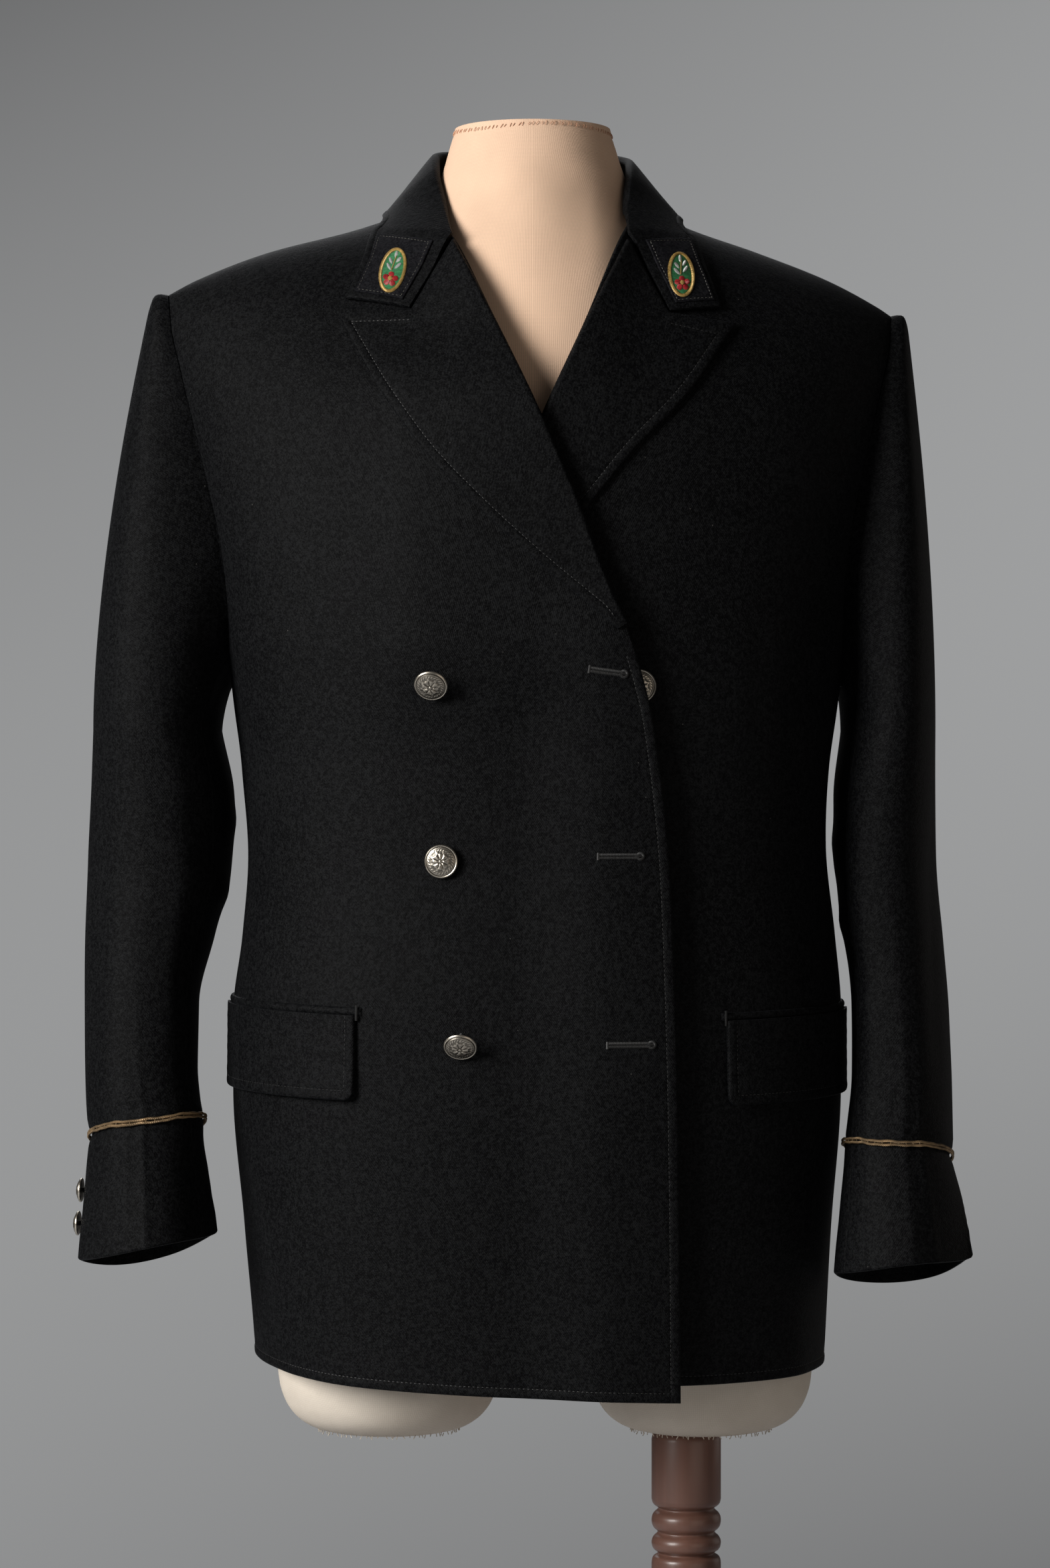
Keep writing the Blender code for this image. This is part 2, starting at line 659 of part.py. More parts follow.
def sleeve_surface(side):
    """A sleeve's outer face by angle (0 outside, 90 front) and run (1 is where its table starts)."""
    table = sleeve_table(side)
    sign = -1.0 if side == "right" else 1.0
    length = table.rows[-1, 0]

    def ring(angle, down):
        outer_x, inner_x, middle_y, half_depth, tilt, twist, slant = table(down)
        around, tilt, twist = np.radians(angle), np.radians(tilt), np.radians(twist)
        outwards = signed_power(np.cos(around), 2 / SLEEVE_ROUND)
        aside = (outer_x - inner_x) / 2 * outwards
        deep = -half_depth * signed_power(np.sin(around), 2 / SLEEVE_ROUND)
        x = (outer_x + inner_x) / 2 + aside * np.cos(twist) - deep * np.cos(tilt) * np.sin(twist)
        y = middle_y + aside * np.sin(twist) + deep * np.cos(tilt) * np.cos(twist)
        return stacked(x, y, SLEEVE_TOP - down - deep * np.sin(tilt) - slant * outwards)

    def surface(angle, run):
        around = np.radians(angle)
        share = (1 + np.cos(around)) / 2
        level, front_angle, back_angle = ARMHOLE(share)
        at_front = smooth_step(-0.06, 0.06, np.sin(around))
        level = np.minimum(level, SHOULDER - SHOULDER_GAP)
        seam = body(sign * mixed(back_angle, front_angle, at_front), level)
        seam = seam + (sign * CAP_GAP, 0.0, 0.0)
        first = ring(angle, np.zeros_like(run))
        out = CAP_OUT + CAP_OUT_MORE * np.cos(around)
        leave = stacked(sign * out, -CAP_RISE * np.sin(around), CAP_RISE * np.cos(around))
        fall = stacked(0.0, 0.0, -CAP_FALL * (seam - first)[..., 2])
        t = np.clip(run, -1.0, 1.0)[..., None]
        cap = seam * (1 + 2 * t) * (1 - t) ** 2 + leave * t * (1 - t) ** 2
        cap = cap + first * t * t * (3 - 2 * t) + fall * t * t * (t - 1)
        lower = ring(angle, np.clip(run - 1, 0, 1) * length)
        return np.where((run <= 1)[..., None], cap, lower)

    return surface


def sleeve_axis(surface, run):
    return (surface(np.zeros_like(run), run) + surface(np.full_like(run, 180.0), run)) / 2


def sleeve(side, finish):
    surface = sleeve_surface(side)
    cap_rows, lower_rows = 6, 7
    length = sleeve_table(side).rows[-1, 0]
    by_braid = BRAID_DOWN[side] + np.array([-9.0, -3.0, 3.0, 9.0])
    downs = np.concatenate([np.linspace(0, by_braid[0] - 14, lower_rows), by_braid])
    downs = np.concatenate([downs, np.linspace(by_braid[-1] + 14, length, 4)])
    runs = np.concatenate([np.linspace(0, 1, cap_rows)[:-1] ** 1.4, 1 + downs / length])
    spans = (
        ("upper", BACK_SEAM + SEAM_ANGLE, FRONT_SEAM - SEAM_ANGLE, 14),
        ("under", FRONT_SEAM + SEAM_ANGLE, 360 + BACK_SEAM - SEAM_ANGLE, 14),
    )
    for part, first, last, columns in spans:
        run, angle = np.meshgrid(runs, np.linspace(first, last, columns), indexing="ij")
        name = f"sleeve_{side}_{part}"
        wall(name, surface, angle, run, 0.0, -WALL, finish, sleeve_axis(surface, run))


def braid(side, finish):
    """A flat cord laid all round the sleeve at the top of its cuff."""
    surface = sleeve_surface(side)
    length = sleeve_table(side).rows[-1, 0]
    half_run = BRAID_WIDE / 2 / length
    at = 1 + BRAID_DOWN[side] / length
    angles = np.linspace(0, 360, 28, endpoint=False)
    run, angle = np.meshgrid(at + half_run * np.linspace(-1, 1, 3), angles, indexing="ij")
    lift = BRAID_GAP + BRAID_THICK * np.array([0.6, 1.0, 0.6])[:, None]
    name = f"cuff_braid_{side}"
    away = sleeve_axis(surface, run)
    wall(name, surface, angle, run, lift, BRAID_GAP, finish, away, wraps=True)


def pocket_flap(side, finish):
    sign = -1.0 if side == "right" else 1.0
    front_top, back_top = FLAP_TOP[side]

    def surface(angle, level):
        return body(sign * angle, level)

    columns = np.concatenate([[0, 0.008, 0.025, 0.05], np.linspace(0.12, 1, 10)])
    along, down = np.meshgrid(columns, np.linspace(0, 1, 5), indexing="ij")
    angle = mixed(FLAP_FRONT[side], FLAP_BACK, along)
    rounded = FLAP_CORNER * (1 - np.sqrt(np.clip(1 - (1 - np.clip(along / 0.05, 0, 1)) ** 2, 0, 1)))
    top = mixed(front_top, back_top, along)
    level = top - (FLAP_DEEP - rounded) * down
    place = surface(angle, level)
    under = outer_lift(place[..., 0], place[..., 2]) if side == "right" else 0.0
    inner = under + LAID_GAP + FLAP_STAND_OFF * down**2
    wall(f"pocket_flap_{side}", surface, angle, level, inner + FOLDED_WALL, inner, finish, (0, 0, 900))
    along, up = unit_grid(13, 2)
    angle = mixed(FLAP_FRONT[side], FLAP_BACK, along)
    level = mixed(front_top, back_top, along) + WELT_RISE + WELT_HIGH * up
    place = surface(angle, level)
    under = outer_lift(place[..., 0], place[..., 2]) if side == "right" else 0.0
    inner = under + LAID_GAP
    wall(f"pocket_welt_{side}", surface, angle, level, inner + WELT_THICK, inner, finish, (0, 0, 900))


def button_profile(radius, shank):
    """A domed button with a raised rim, on a thread shank."""
    return (
        (0.0, 0.0), (SHANK_RADIUS, 0.0), (SHANK_RADIUS, shank), (radius, shank + 0.4), (radius, shank + 1.5),
        (radius * 0.86, shank + 1.7), (radius * 0.5, shank + 3.5), (0.0, shank + 4.1),
    )


def buttons(metal):
    for name, x, z, tilt, shank in FRONT_BUTTONS:
        lift = outer_lift(x, z) if name.startswith("right") else 0.0
        angle, level = locate(np.array([[x]]), np.array([[z]]))
        spot = body(angle, level)
        step = np.array([[1.0]])
        along_u = body(angle + 0.3 * step, level) - body(angle - 0.3 * step, level)
        along_v = body(angle, level + step) - body(angle, level - step)
        normal = np.cross(along_v, along_u)[0, 0]
        normal = normal * -np.sign(normal[1])
        normal = normal / np.linalg.norm(normal)
        foot = spot[0, 0] + normal * (lift + BUTTON_GAP)
        lean = np.radians(tilt)
        axis = normal * np.cos(lean) - np.array((0.0, 0.0, 1.0)) * np.sin(lean)
        foot = foot + normal * SHANK_RADIUS * np.sin(lean)
        profile = button_profile(FRONT_BUTTON_RADIUS, shank)
        turned(f"button_front_{name}", profile, foot, axis, 14, metal)
    for side in ("right", "left"):
        surface = sleeve_surface(side)
        length = sleeve_table(side).rows[-1, 0]
        for number, down in enumerate(CUFF_BUTTONS_DOWN[side], start=1):
            angle = np.array([[CUFF_BUTTON_ANGLE[side]]])
            run = np.array([[1 + down / length]])
            along_u = surface(angle + 1.0, run) - surface(angle - 1.0, run)
            along_v = surface(angle, run + 0.005) - surface(angle, run - 0.005)
            normal = np.cross(along_u, along_v)[0, 0]
            normal = normal / np.linalg.norm(normal)
            if (normal[0] < 0) != (side == "right"):
                normal = -normal
            foot = surface(angle, run)[0, 0] + normal * BUTTON_GAP
            profile = button_profile(CUFF_BUTTON_RADIUS, CUFF_SHANK)
            turned(f"button_cuff_{side}_{number}", profile, foot, normal, 12, metal)


def form_depth(x, z, facing):
    """How deep the torso is in front (facing -1) or behind (1) of x, z, or 0 outside it."""
    neck_side = np.clip((100 - np.abs(x)) / 30, 0, 1)
    crest = RIDGE(x) - FORM_DROP - FORM_NECK_DROP * neck_side
    share = np.clip((z - ARMPIT) / (crest - ARMPIT), 0.0, 1.0)
    turn = np.arcsin(share ** (FULL / 2))
    level = np.where(z < ARMPIT, z, ARMPIT + TURN_RUN * turn / np.radians(90))
    half, front, back, centre = FORM_BODY(level)
    across = np.clip(np.abs((x - centre) / half), 0.0, 1.0)
    return np.where(facing < 0, front, back) * (1 - across**FORM_ROUND) ** (1 / FORM_ROUND) * np.cos(turn)


def form_radius(around, z):
    """Distance of the form's skin from the neck's axis, with the neck blended into the torso."""
    near, far = np.zeros_like(around), np.full_like(around, 260.0)
    for _ in range(26):
        middle = (near + far) / 2
        x, y = middle * np.sin(around), -middle * np.cos(around)
        inside = np.abs(y) + 0.001 <= form_depth(x, z, np.sign(y))
        near, far = np.where(inside, middle, near), np.where(inside, far, middle)
    return (near**NECK_BLEND + NECK_RADIUS(z) ** NECK_BLEND) ** (1 / NECK_BLEND)


def dress_form(finish):
    segments = 32
    around = np.linspace(0, 2 * np.pi, segments, endpoint=False)
    points, rings = [(FORM_FOOT_X, 0.0, FORM_LEVELS[0])], [[0]]
    for z in FORM_LEVELS:
        radius = form_radius(around, np.full(segments, float(z)))
        rings.append(list(range(len(points), len(points) + segments)))
        points += list(stacked(radius * np.sin(around), -radius * np.cos(around), float(z)))
    rings.append(list(range(len(points), len(points) + segments)))
    points += list(points[k] * (0.8, 0.8, 1.0) + (0.0, 0.0, NECK_CAP_RISE[0]) for k in rings[-2])
    rings.append([len(points)])
    points.append((0.0, 0.0, FORM_LEVELS[-1] + NECK_CAP_RISE[1]))
    form = add_mesh("dress_form", points, ring_faces(rings, segments), finish, 60.0)
    for side, x in STUMPS:
        stump = turned(f"stump_{side}", STUMP_PROFILE, (0, 0, 0), (0, 0, 1), 24, finish)
        half_x, half_y = STUMP_HALF
        for vertex in stump.data.vertices:
            vertex.co.x = vertex.co.x * half_x + x * MM
            vertex.co.y = vertex.co.y * half_y + STUMP_Y * MM
        stump.hide_render = True
        stump.display_type = "WIRE"
        joined = form.modifiers.new(f"join_{side}", "BOOLEAN")
        joined.operation = "UNION"
        joined.object = stump


def stand(wood):
    """The turned pole, with pairs of beads between plain lengths, on its round base."""
    top = [(0.0, POLE_TOP), (18.0, POLE_TOP), (21.5, POLE_TOP - 2.0), (23.0, POLE_TOP - 6.0)]
    profile = top + [
        (23.0, 575.0), (22.2, 571.5), (20.8, 569.5),
        (22.0, 567.0), (23.0, 561.5), (22.0, 556.5), (21.0, 554.0),
        (22.0, 551.5), (23.0, 547.0), (22.0, 542.5), (20.8, 540.0),
        (22.2, 538.0), (23.0, 534.0), (23.0, 120.0), (25.0, 100.0), (31.0, 80.0),
        (34.0, 62.0), (30.0, 46.0), (27.0, 40.0), (38.0, BASE_THICK + GAP), (0.0, BASE_THICK + GAP),
    ]
    turned("pole", profile[::-1], (POLE_X, 0, 0), (0, 0, 1), 16, wood)
    base = (
        (0.0, 0.0), (BASE_RADIUS - 4, 0.0), (BASE_RADIUS, 4.0), (BASE_RADIUS, 13.0),
        (BASE_RADIUS - 8, 20.0), (BASE_RADIUS - 30, 25.0), (70.0, BASE_THICK), (0.0, BASE_THICK),
    )
    turned("base", base, (POLE_X, 0, 0), (0, 0, 1), 32, wood)


def main():
    for old in list(bpy.data.objects):
        bpy.data.objects.remove(old, do_unlink=True)
    cloth = material("wool_twill", (0.012, 0.012, 0.014), 0.85)
    patch = material("patch_cloth", (0.008, 0.008, 0.010), 0.9)
    thread = material("badge_thread", (0.05, 0.22, 0.09), 0.6)
    cord = material("braid_cord", (0.30, 0.20, 0.10), 0.5, 0.4)
    metal = material("button_metal", (0.42, 0.40, 0.36), 0.38, 1.0)
    skin = material("form_jersey", (0.72, 0.52, 0.40), 0.85)
    wood = material("turned_wood", (0.16, 0.09, 0.07), 0.35)
    for side in ("right", "left"):
        front_panel(f"front_{side}", side, cloth)
        back_panel(f"back_{side}", side, cloth)
        lapel(f"lapel_{side}", side, cloth)
        sleeve(side, cloth)
        braid(side, cord)
        pocket_flap(side, cloth)
    collar(cloth)
    collar_badges(patch, thread)
    buttons(metal)
    dress_form(skin)
    stand(wood)


main()
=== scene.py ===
"""Wool jacket on a dress form stand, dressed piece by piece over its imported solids.

+X is the viewer's right, the jacket's front faces -Y and z = 0 is the floor. Sizes and tables are in
millimetres and degrees, and add_mesh turns them into metres. Left and right in names are the wearer's.
"""

import bpy
import numpy as np
from bpy.props import FloatProperty, FloatVectorProperty, PointerProperty
from bpy.types import Operator, Panel, PropertyGroup
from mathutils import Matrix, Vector


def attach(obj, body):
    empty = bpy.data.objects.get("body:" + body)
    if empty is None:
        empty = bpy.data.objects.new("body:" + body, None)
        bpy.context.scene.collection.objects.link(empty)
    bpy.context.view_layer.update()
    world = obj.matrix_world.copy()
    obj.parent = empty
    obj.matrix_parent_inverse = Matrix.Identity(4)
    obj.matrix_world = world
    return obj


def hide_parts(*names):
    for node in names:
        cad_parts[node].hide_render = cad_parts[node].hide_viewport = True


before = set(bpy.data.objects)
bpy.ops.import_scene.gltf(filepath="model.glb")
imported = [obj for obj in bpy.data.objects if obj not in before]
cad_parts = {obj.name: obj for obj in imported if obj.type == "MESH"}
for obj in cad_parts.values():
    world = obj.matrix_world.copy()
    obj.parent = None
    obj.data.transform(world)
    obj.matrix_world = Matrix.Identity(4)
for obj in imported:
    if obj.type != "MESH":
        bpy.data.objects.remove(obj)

bl_info = {
    "name": "Wool Jacket on a Dress Form",
    "version": (1, 0, 0),
    "blender": (4, 5, 0),
    "location": "View3D > Sidebar > Jacket",
    "description": "Builds a double-breasted wool jacket, its dress form and its wooden stand",
    "category": "Object",
}

MM = 0.001

WALL = 2.0
FOLDED_WALL = 2.6
LAID_GAP = 0.9
LAPEL_GAP = 1.25
LAPEL_ROLL = 1.2
LAPEL_TOP_RISE = 0.8
FRONTS_GAP = 1.1
COLLAR_LIFT = 5.0
COLLAR_SWELL = 1.8
PATCH_THICK = 0.9
ROUND = 2.4
FULL = 2.3
ARMPIT = 1140.0
TURN_RUN = 260.0
SHOULDER = ARMPIT + TURN_RUN
SIDE_SEAM = 100.0
MEETING_X = 5.0
POLE_X = 102.0
POLE_TOP = 621.6
BASE_RADIUS = 236.0
BASE_THICK = 30.0


class Table:
    """Rows of numbers in named columns, read between the rows along a smooth curve."""

    def __init__(self, names, *rows):
        self.rows = np.array(rows, float)
        if self.rows.shape[1] != len(names.split()):
            raise ValueError(f"the rows do not match the columns {names}")
        steps = np.diff(self.rows[:, 0])[:, None]
        slopes = np.diff(self.rows[:, 1:], axis=0) / steps
        before, after = slopes[:-1], slopes[1:]
        same_way = before * after > 0
        total = np.where(same_way, before + after, 1.0)
        inner = np.where(same_way, 2 * before * after / total, 0.0)
        self.slopes = np.vstack([slopes[:1], inner, slopes[-1:]])

    def __call__(self, at):
        keys, values = self.rows[:, 0], self.rows[:, 1:]
        at = np.clip(np.asarray(at, float), keys[0], keys[-1])
        row = np.clip(np.searchsorted(keys, at, side="right") - 1, 0, len(keys) - 2)
        step = (keys[row + 1] - keys[row])[..., None]
        t = (at - keys[row])[..., None] / step
        ease = t * t * (3 - 2 * t)
        found = values[row] * (1 - ease) + values[row + 1] * ease
        found = found + step * t * (1 - t) ** 2 * self.slopes[row]
        found = found - step * t * t * (1 - t) * self.slopes[row + 1]
        columns = np.moveaxis(found, -1, 0)
        return columns[0] if len(columns) == 1 else columns


BODY = Table(
    "level half_width front back centre",
    (640, 187, 137, 116, 6),
    (670, 188, 138, 118, 6),
    (759, 194, 142, 123, 4),
    (850, 201, 145, 122, 3),
    (900, 201, 145, 118, 3),
    (950, 196, 142, 108, 4),
    (1010, 191, 138, 100, 3),
    (1060, 193, 138, 104, 2),
    (1100, 198, 140, 112, 2),
    (1140, 204, 141, 118, 2),
    (1174, 211, 141, 122, 1),
    (1208, 221, 140, 124, 0),
    (1267, 236, 138, 124, -1),
    (1320, 244, 135, 122, -1.5),
    (1400, 247, 130, 118, -2),
)

RIDGE = Table(
    "x height",
    (-242, 1374),
    (-223, 1384),
    (-176, 1402),
    (-111, 1419),
    (-72, 1435),
    (-36, 1478),
    (0, 1500),
    (36, 1478),
    (72, 1434),
    (101, 1419),
    (149, 1402),
    (195, 1384),
    (229, 1366),
    (238, 1360),
)

ARMHOLE = Table(
    "share level front_angle back_angle",
    (0.0, 1125, 100, 100),
    (0.1, 1130, 86, 108),
    (0.22, 1150, 77, 112),
    (0.38, 1186, 74.5, 113),
    (0.6, 1255, 74.5, 113),
    (0.8, 1322, 75, 110),
    (1.0, SHOULDER, 75, 105),
)

FRONT_EDGE = Table(
    "row x z",
    (0.0, 91, 658),
    (0.35, 89.5, 820),
    (0.7, 85, 980),
    (0.9, 75, 1085),
    (1.0, 62, 1137),
    (1.13, 45, 1184),
    (1.26, 28, 1229),
    (1.4, 5, 1284),
    (1.54, -23, 1345),
    (1.68, -51, 1403),
    (1.79, -63, 1420),
    (1.89, -69, 1430),
    (2.0, -71, 1435),
)

NECK_POINT_X = 71.0

NECK_BACK_Y = 72.0

HEM_SIDE = {"right": 676.0, "left": 672.0}
HEM_BACK = 674.0
HEM_BEND = {"right": 1.4, "left": 1.0}
HEM_SAG = {"right": 3.0, "left": 4.5}
UNDER_HEM_FRONT = 671.0

RIGHT_LAPEL = Table(
    "share roll_x roll_z edge_x edge_z",
    (0.0, 57, 1151, 52, 1148),
    (0.16, 44, 1184, 33, 1164.5),
    (0.34, 29, 1226, 2, 1190.5),
    (0.52, 9, 1274, -32, 1222),
    (0.7, -12, 1322, -64, 1256),
    (0.85, -31, 1362, -95, 1298),
    (1.0, -50, 1401, -128, 1357),
)

LEFT_LAPEL = Table(
    "share roll_x roll_z edge_x edge_z",
    (0.0, -46, 1151, -41, 1148),
    (0.16, -33, 1184, -22, 1165),
    (0.34, -17, 1226, 5, 1193),
    (0.52, 3, 1277, 34, 1225),
    (0.7, 22, 1320, 64, 1262),
    (0.85, 42, 1364, 97, 1297),
    (1.0, 60, 1402, 130, 1346),
)

RIGHT_NOTCH = (-77.5, 1354.0)

LEFT_NOTCH = (87.0, 1352.0)

NOTCH_SHARE = 0.48

COLLAR_ENDS = Table(
    "station inner_x inner_z outer_x outer_z",
    (0, -77.4, 1354.9, -117.5, 1362.5),
    (1, -63.9, 1378.4, -107.5, 1388),
    (2, -50.4, 1403.4, -99, 1413),
    (14, 60.4, 1405.4, 99, 1409),
    (15, 73.9, 1379.4, 110, 1382),
    (16, 86.4, 1352.9, 118.5, 1356),
)

COLLAR_RING = Table(
    "station crease_x crease_y crease_z seam_x seam_y outer_x outer_y",
    (3, -60, -46, 1432, -64.5, -43, -98.5, -26),
    (4, -66, -20, 1455, -68.5, -18, -100, 0),
    (5, -67, 8, 1468, -69, 10, -98, 17),
    (6, -60, 36, 1474, -61.5, 36, -85, 36),
    (7, -36, 60, 1477, -38, 60, -50, 63),
    (8, 0, 68, 1478, 0, 69, 0, 80),
    (9, 36, 60, 1476, 38, 60, 50, 63),
    (10, 60, 36, 1471, 61.5, 36, 85, 36),
    (11, 67, 8, 1464, 69, 10, 98, 17),
    (12, 66, -20, 1452, 68.5, -18, 100.5, 0),
    (13, 62.5, -46, 1431, 64.5, -43, 99, -26),
)

SLEEVE_TOP = 1085.0

RIGHT_SLEEVE = Table(
    "down outer_x inner_x middle_y half_depth tilt twist slant",
    (0, -291, -206, 2, 72, 0, 0, 0),
    (45, -293, -198, 5, 70, 0, 0, 0),
    (85, -295, -199, 4, 66, 3, 2, 0),
    (135, -296, -210, -6, 60, 9, 5, 1),
    (183, -295, -220, -19, 54, 14, 6, 3),
    (223, -293.5, -220, -31, 51, 16.5, 6, 4),
    (250, -291.5, -217.5, -38, 49.5, 17, 6, 5),
    (259, -289, -215.5, -40.5, 48, 17, 6, 5),
    (268, -290.5, -215.5, -43, 48.5, 17, 6, 5),
    (295, -292.5, -211.5, -50, 49, 17.5, 6, 6.5),
    (335, -295.5, -204.5, -62, 50, 18, 6, 8.5),
)

LEFT_SLEEVE = Table(
    "down outer_x inner_x middle_y half_depth tilt twist slant",
    (0, 267, 205, 2, 76, 0, 0, 0),
    (45, 267.5, 200, 4, 74, 0, -2, 0),
    (85, 268, 200, 2, 69, 3, -5, 0),
    (135, 271, 206, -8, 62, 9, -9, 0),
    (183, 273.5, 211, -21, 57, 14, -12, 1),
    (230, 274.5, 210, -35, 53, 16.5, -12, 1),
    (264, 274.5, 206, -44, 51, 17, -12, 2),
    (273, 272.5, 204.5, -47, 49.5, 17, -12, 2),
    (282, 274.5, 204, -49, 50, 17, -12, 1),
    (307, 280, 200.5, -57, 50.5, 17.5, -12, -2),
    (347, 286, 195, -68, 51, 18, -12, -7),
)

SLEEVE_ROUND = 2.15

BACK_SEAM = -34.0

FRONT_SEAM = 138.0

BRAID_DOWN = {"right": 259.0, "left": 273.0}

FLAP_FRONT = {"right": 30.5, "left": 32.5}

FLAP_BACK = 88.0

FLAP_TOP = {"right": (903.0, 907.0), "left": (899.5, 903.0)}

FLAP_DEEP = 54.0

FLAP_STAND_OFF = 2.2

FRONT_BUTTON_RADIUS = 10.8

FRONT_BUTTONS = (
    ("right_top", -62.0, 1117.0, 33.0, 7.4),
    ("right_middle", -57.0, 1001.0, 4.0, 2.4),
    ("right_bottom", -44.5, 891.5, 42.0, 9.6),
    ("left_top", 67.0, 1112.0, 0.0, 1.6),
    ("left_middle", 67.0, 1001.0, 0.0, 1.6),
    ("left_bottom", 66.0, 884.0, 0.0, 1.6),
)

CUFF_BUTTON_RADIUS = 8.0

CUFF_BUTTON_ANGLE = {"right": -14.0, "left": -50.0}

CUFF_BUTTONS_DOWN = {"right": (291.0, 311.0), "left": (312.0, 332.0)}

FORM_BODY = Table(
    "level half_width front back centre",
    (715, 175, 116, 98, 8),
    (800, 177, 120, 102, 7),
    (900, 170, 116, 96, 5),
    (1000, 158, 108, 80, 3),
    (1080, 165, 114, 90, 2),
    (1140, 174, 124, 99, 1),
    (1270, 196, 118, 98, 0),
    (1400, 214, 104, 92, -1),
)

NECK_RADIUS = Table(
    "height radius",
    (1340, 5),
    (1372, 40),
    (1400, 58),
    (1425, 62.5),
    (1444, 62),
    (1462, 57.5),
    (1486, 51),
)

FORM_ROUND = 2.2

FORM_DROP = 2.7

FORM_NECK_DROP = 4.0

STUMPS = (("right", -95.0), ("left", 111.5))

STUMP_HALF = (73.5, 69.0)

STUMP_Y = -8.0



def signed_power(base, power):
    return np.sign(base) * np.abs(base) ** power


def smooth_step(low, high, value):
    t = np.clip((value - low) / (high - low), 0.0, 1.0)
    return t * t * (3 - 2 * t)


def mixed(a, b, share):
    return a + (b - a) * share


def stacked(x, y, z):
    return np.stack(np.broadcast_arrays(x, y, z), axis=-1)



def smooth_body(angle, level):
    """Outer face of the body cloth. Angle 0 is the middle front, 90 the +X side, 180 the back."""
    half, front, back, centre = BODY(level)
    around = np.radians(angle)
    turn = np.radians(90.0) * np.maximum(level - ARMPIT, 0.0) / TURN_RUN
    x = centre + half * signed_power(np.sin(around), 2 / ROUND)
    deep = signed_power(np.cos(around), 2 / ROUND)
    raised = ARMPIT + (RIDGE(x) - ARMPIT) * np.abs(np.sin(turn)) ** (2 / FULL)
    z = np.where(level < ARMPIT, level, raised)
    return stacked(x, -np.where(deep > 0, front, back) * deep * np.cos(turn), z)



def locate(x, z):
    """Angle and level of the point of the front that is seen at x, z."""
    share = np.clip((z - ARMPIT) / (RIDGE(x) - ARMPIT), 0.0, 1.0)
    turn = np.degrees(np.arcsin(share ** (FULL / 2)))
    level = np.where(z < ARMPIT, z, ARMPIT + TURN_RUN * turn / 90.0)
    half, _, _, centre = BODY(level)
    across = np.clip((x - centre) / half, -1.0, 1.0)
    return np.degrees(np.arcsin(signed_power(across, ROUND / 2))), level


def over(x, y):
    """Height of the body cloth above a plan point on the shoulders or round the neck."""
    level = np.full(np.shape(x), SHOULDER - 60.0)
    for _ in range(12):
        half, front, back, centre = BODY(level)
        across = np.clip(np.abs((x - centre) / half), 0.0, 1.0)
        deep = np.where(y < 0, front, back) * (1 - across**ROUND) ** (1 / ROUND)
        turn = np.degrees(np.arccos(np.clip(np.abs(y) / deep, 0.0, 1.0)))
        level = ARMPIT + TURN_RUN * turn / 90.0
    return ARMPIT + (RIDGE(x) - ARMPIT) * np.sin(np.radians(turn)) ** (2 / FULL)


def neckline_level(angle):
    """Level at which the back meets the neck seam, or above the shoulder away from the neck."""
    half, _, back, centre = BODY(SHOULDER)
    around = np.radians(angle)
    x = centre + half * signed_power(np.sin(around), 2 / ROUND)
    deep = back * np.abs(np.cos(around)) ** (2 / ROUND)
    seam_y = NECK_BACK_Y * np.sqrt(np.clip(1 - (x / NECK_POINT_X) ** 2, 0, 1))
    return ARMPIT + TURN_RUN * np.degrees(np.arccos(np.clip(seam_y / deep, 0, 1))) / 90


def outer_lift(x, z):
    """How far the outer front stands off the under front, its lapel and its buttons."""
    over_front = (WALL + FRONTS_GAP) * smooth_step(-175.0, -105.0, x) * (1 - smooth_step(1290.0, 1345.0, z))
    beside_lapel = smooth_step(1078.0, 1140.0, z) * (1 - smooth_step(1290.0, 1350.0, z))
    over_lapel = (FOLDED_WALL + 2 * LAPEL_GAP + LAPEL_ROLL) * beside_lapel * smooth_step(-120.0, -68.0, x)
    over_buttons = 8.2 * smooth_step(-12.0, 50.0, x) * (1 - smooth_step(1140.0, 1215.0, z))
    return over_front + np.hypot(over_lapel, over_buttons)


def normals(surface, u, v, away):
    """Normals of a surface, turned so that on the whole they point away from the given places."""
    small_u, small_v = 0.002 * np.ptp(u), 0.002 * np.ptp(v)
    along_u = surface(u + small_u, v) - surface(u - small_u, v)
    along_v = surface(u, v + small_v) - surface(u, v - small_v)
    found = np.cross(along_u, along_v)
    found = found / np.linalg.norm(found, axis=-1, keepdims=True)
    return found * np.sign(np.sum(found * (surface(u, v) - away)))


def lapel_surface(table, notch):
    """Lapel by share of its width and share of its height, with the notch in its top edge."""

    def surface(across, up):
        roll_x, roll_z, edge_x, edge_z = table(up)
        x, z = mixed(roll_x, edge_x, across), mixed(roll_z, edge_z, across)
        top = table(1.0)
        at_notch = mixed(top[0], top[2], NOTCH_SHARE), mixed(top[1], top[3], NOTCH_SHARE)
        tent = np.where(across < NOTCH_SHARE, across / NOTCH_SHARE, (1 - across) / (1 - NOTCH_SHARE))
        pull = tent * smooth_step(0.72, 1.0, up)
        x = x + (notch[0] - at_notch[0]) * pull
        z = z + (notch[1] - at_notch[1]) * pull
        return body(*locate(x, z))

    return surface


def out_and_up(points, rise):
    """Directions away from the neck's axis that also point up by the given share."""
    out = points * (1.0, 1.0, 0.0)
    out = out / np.linalg.norm(out, axis=-1, keepdims=True) + (0.0, 0.0, rise)
    return out / np.linalg.norm(out, axis=-1, keepdims=True)


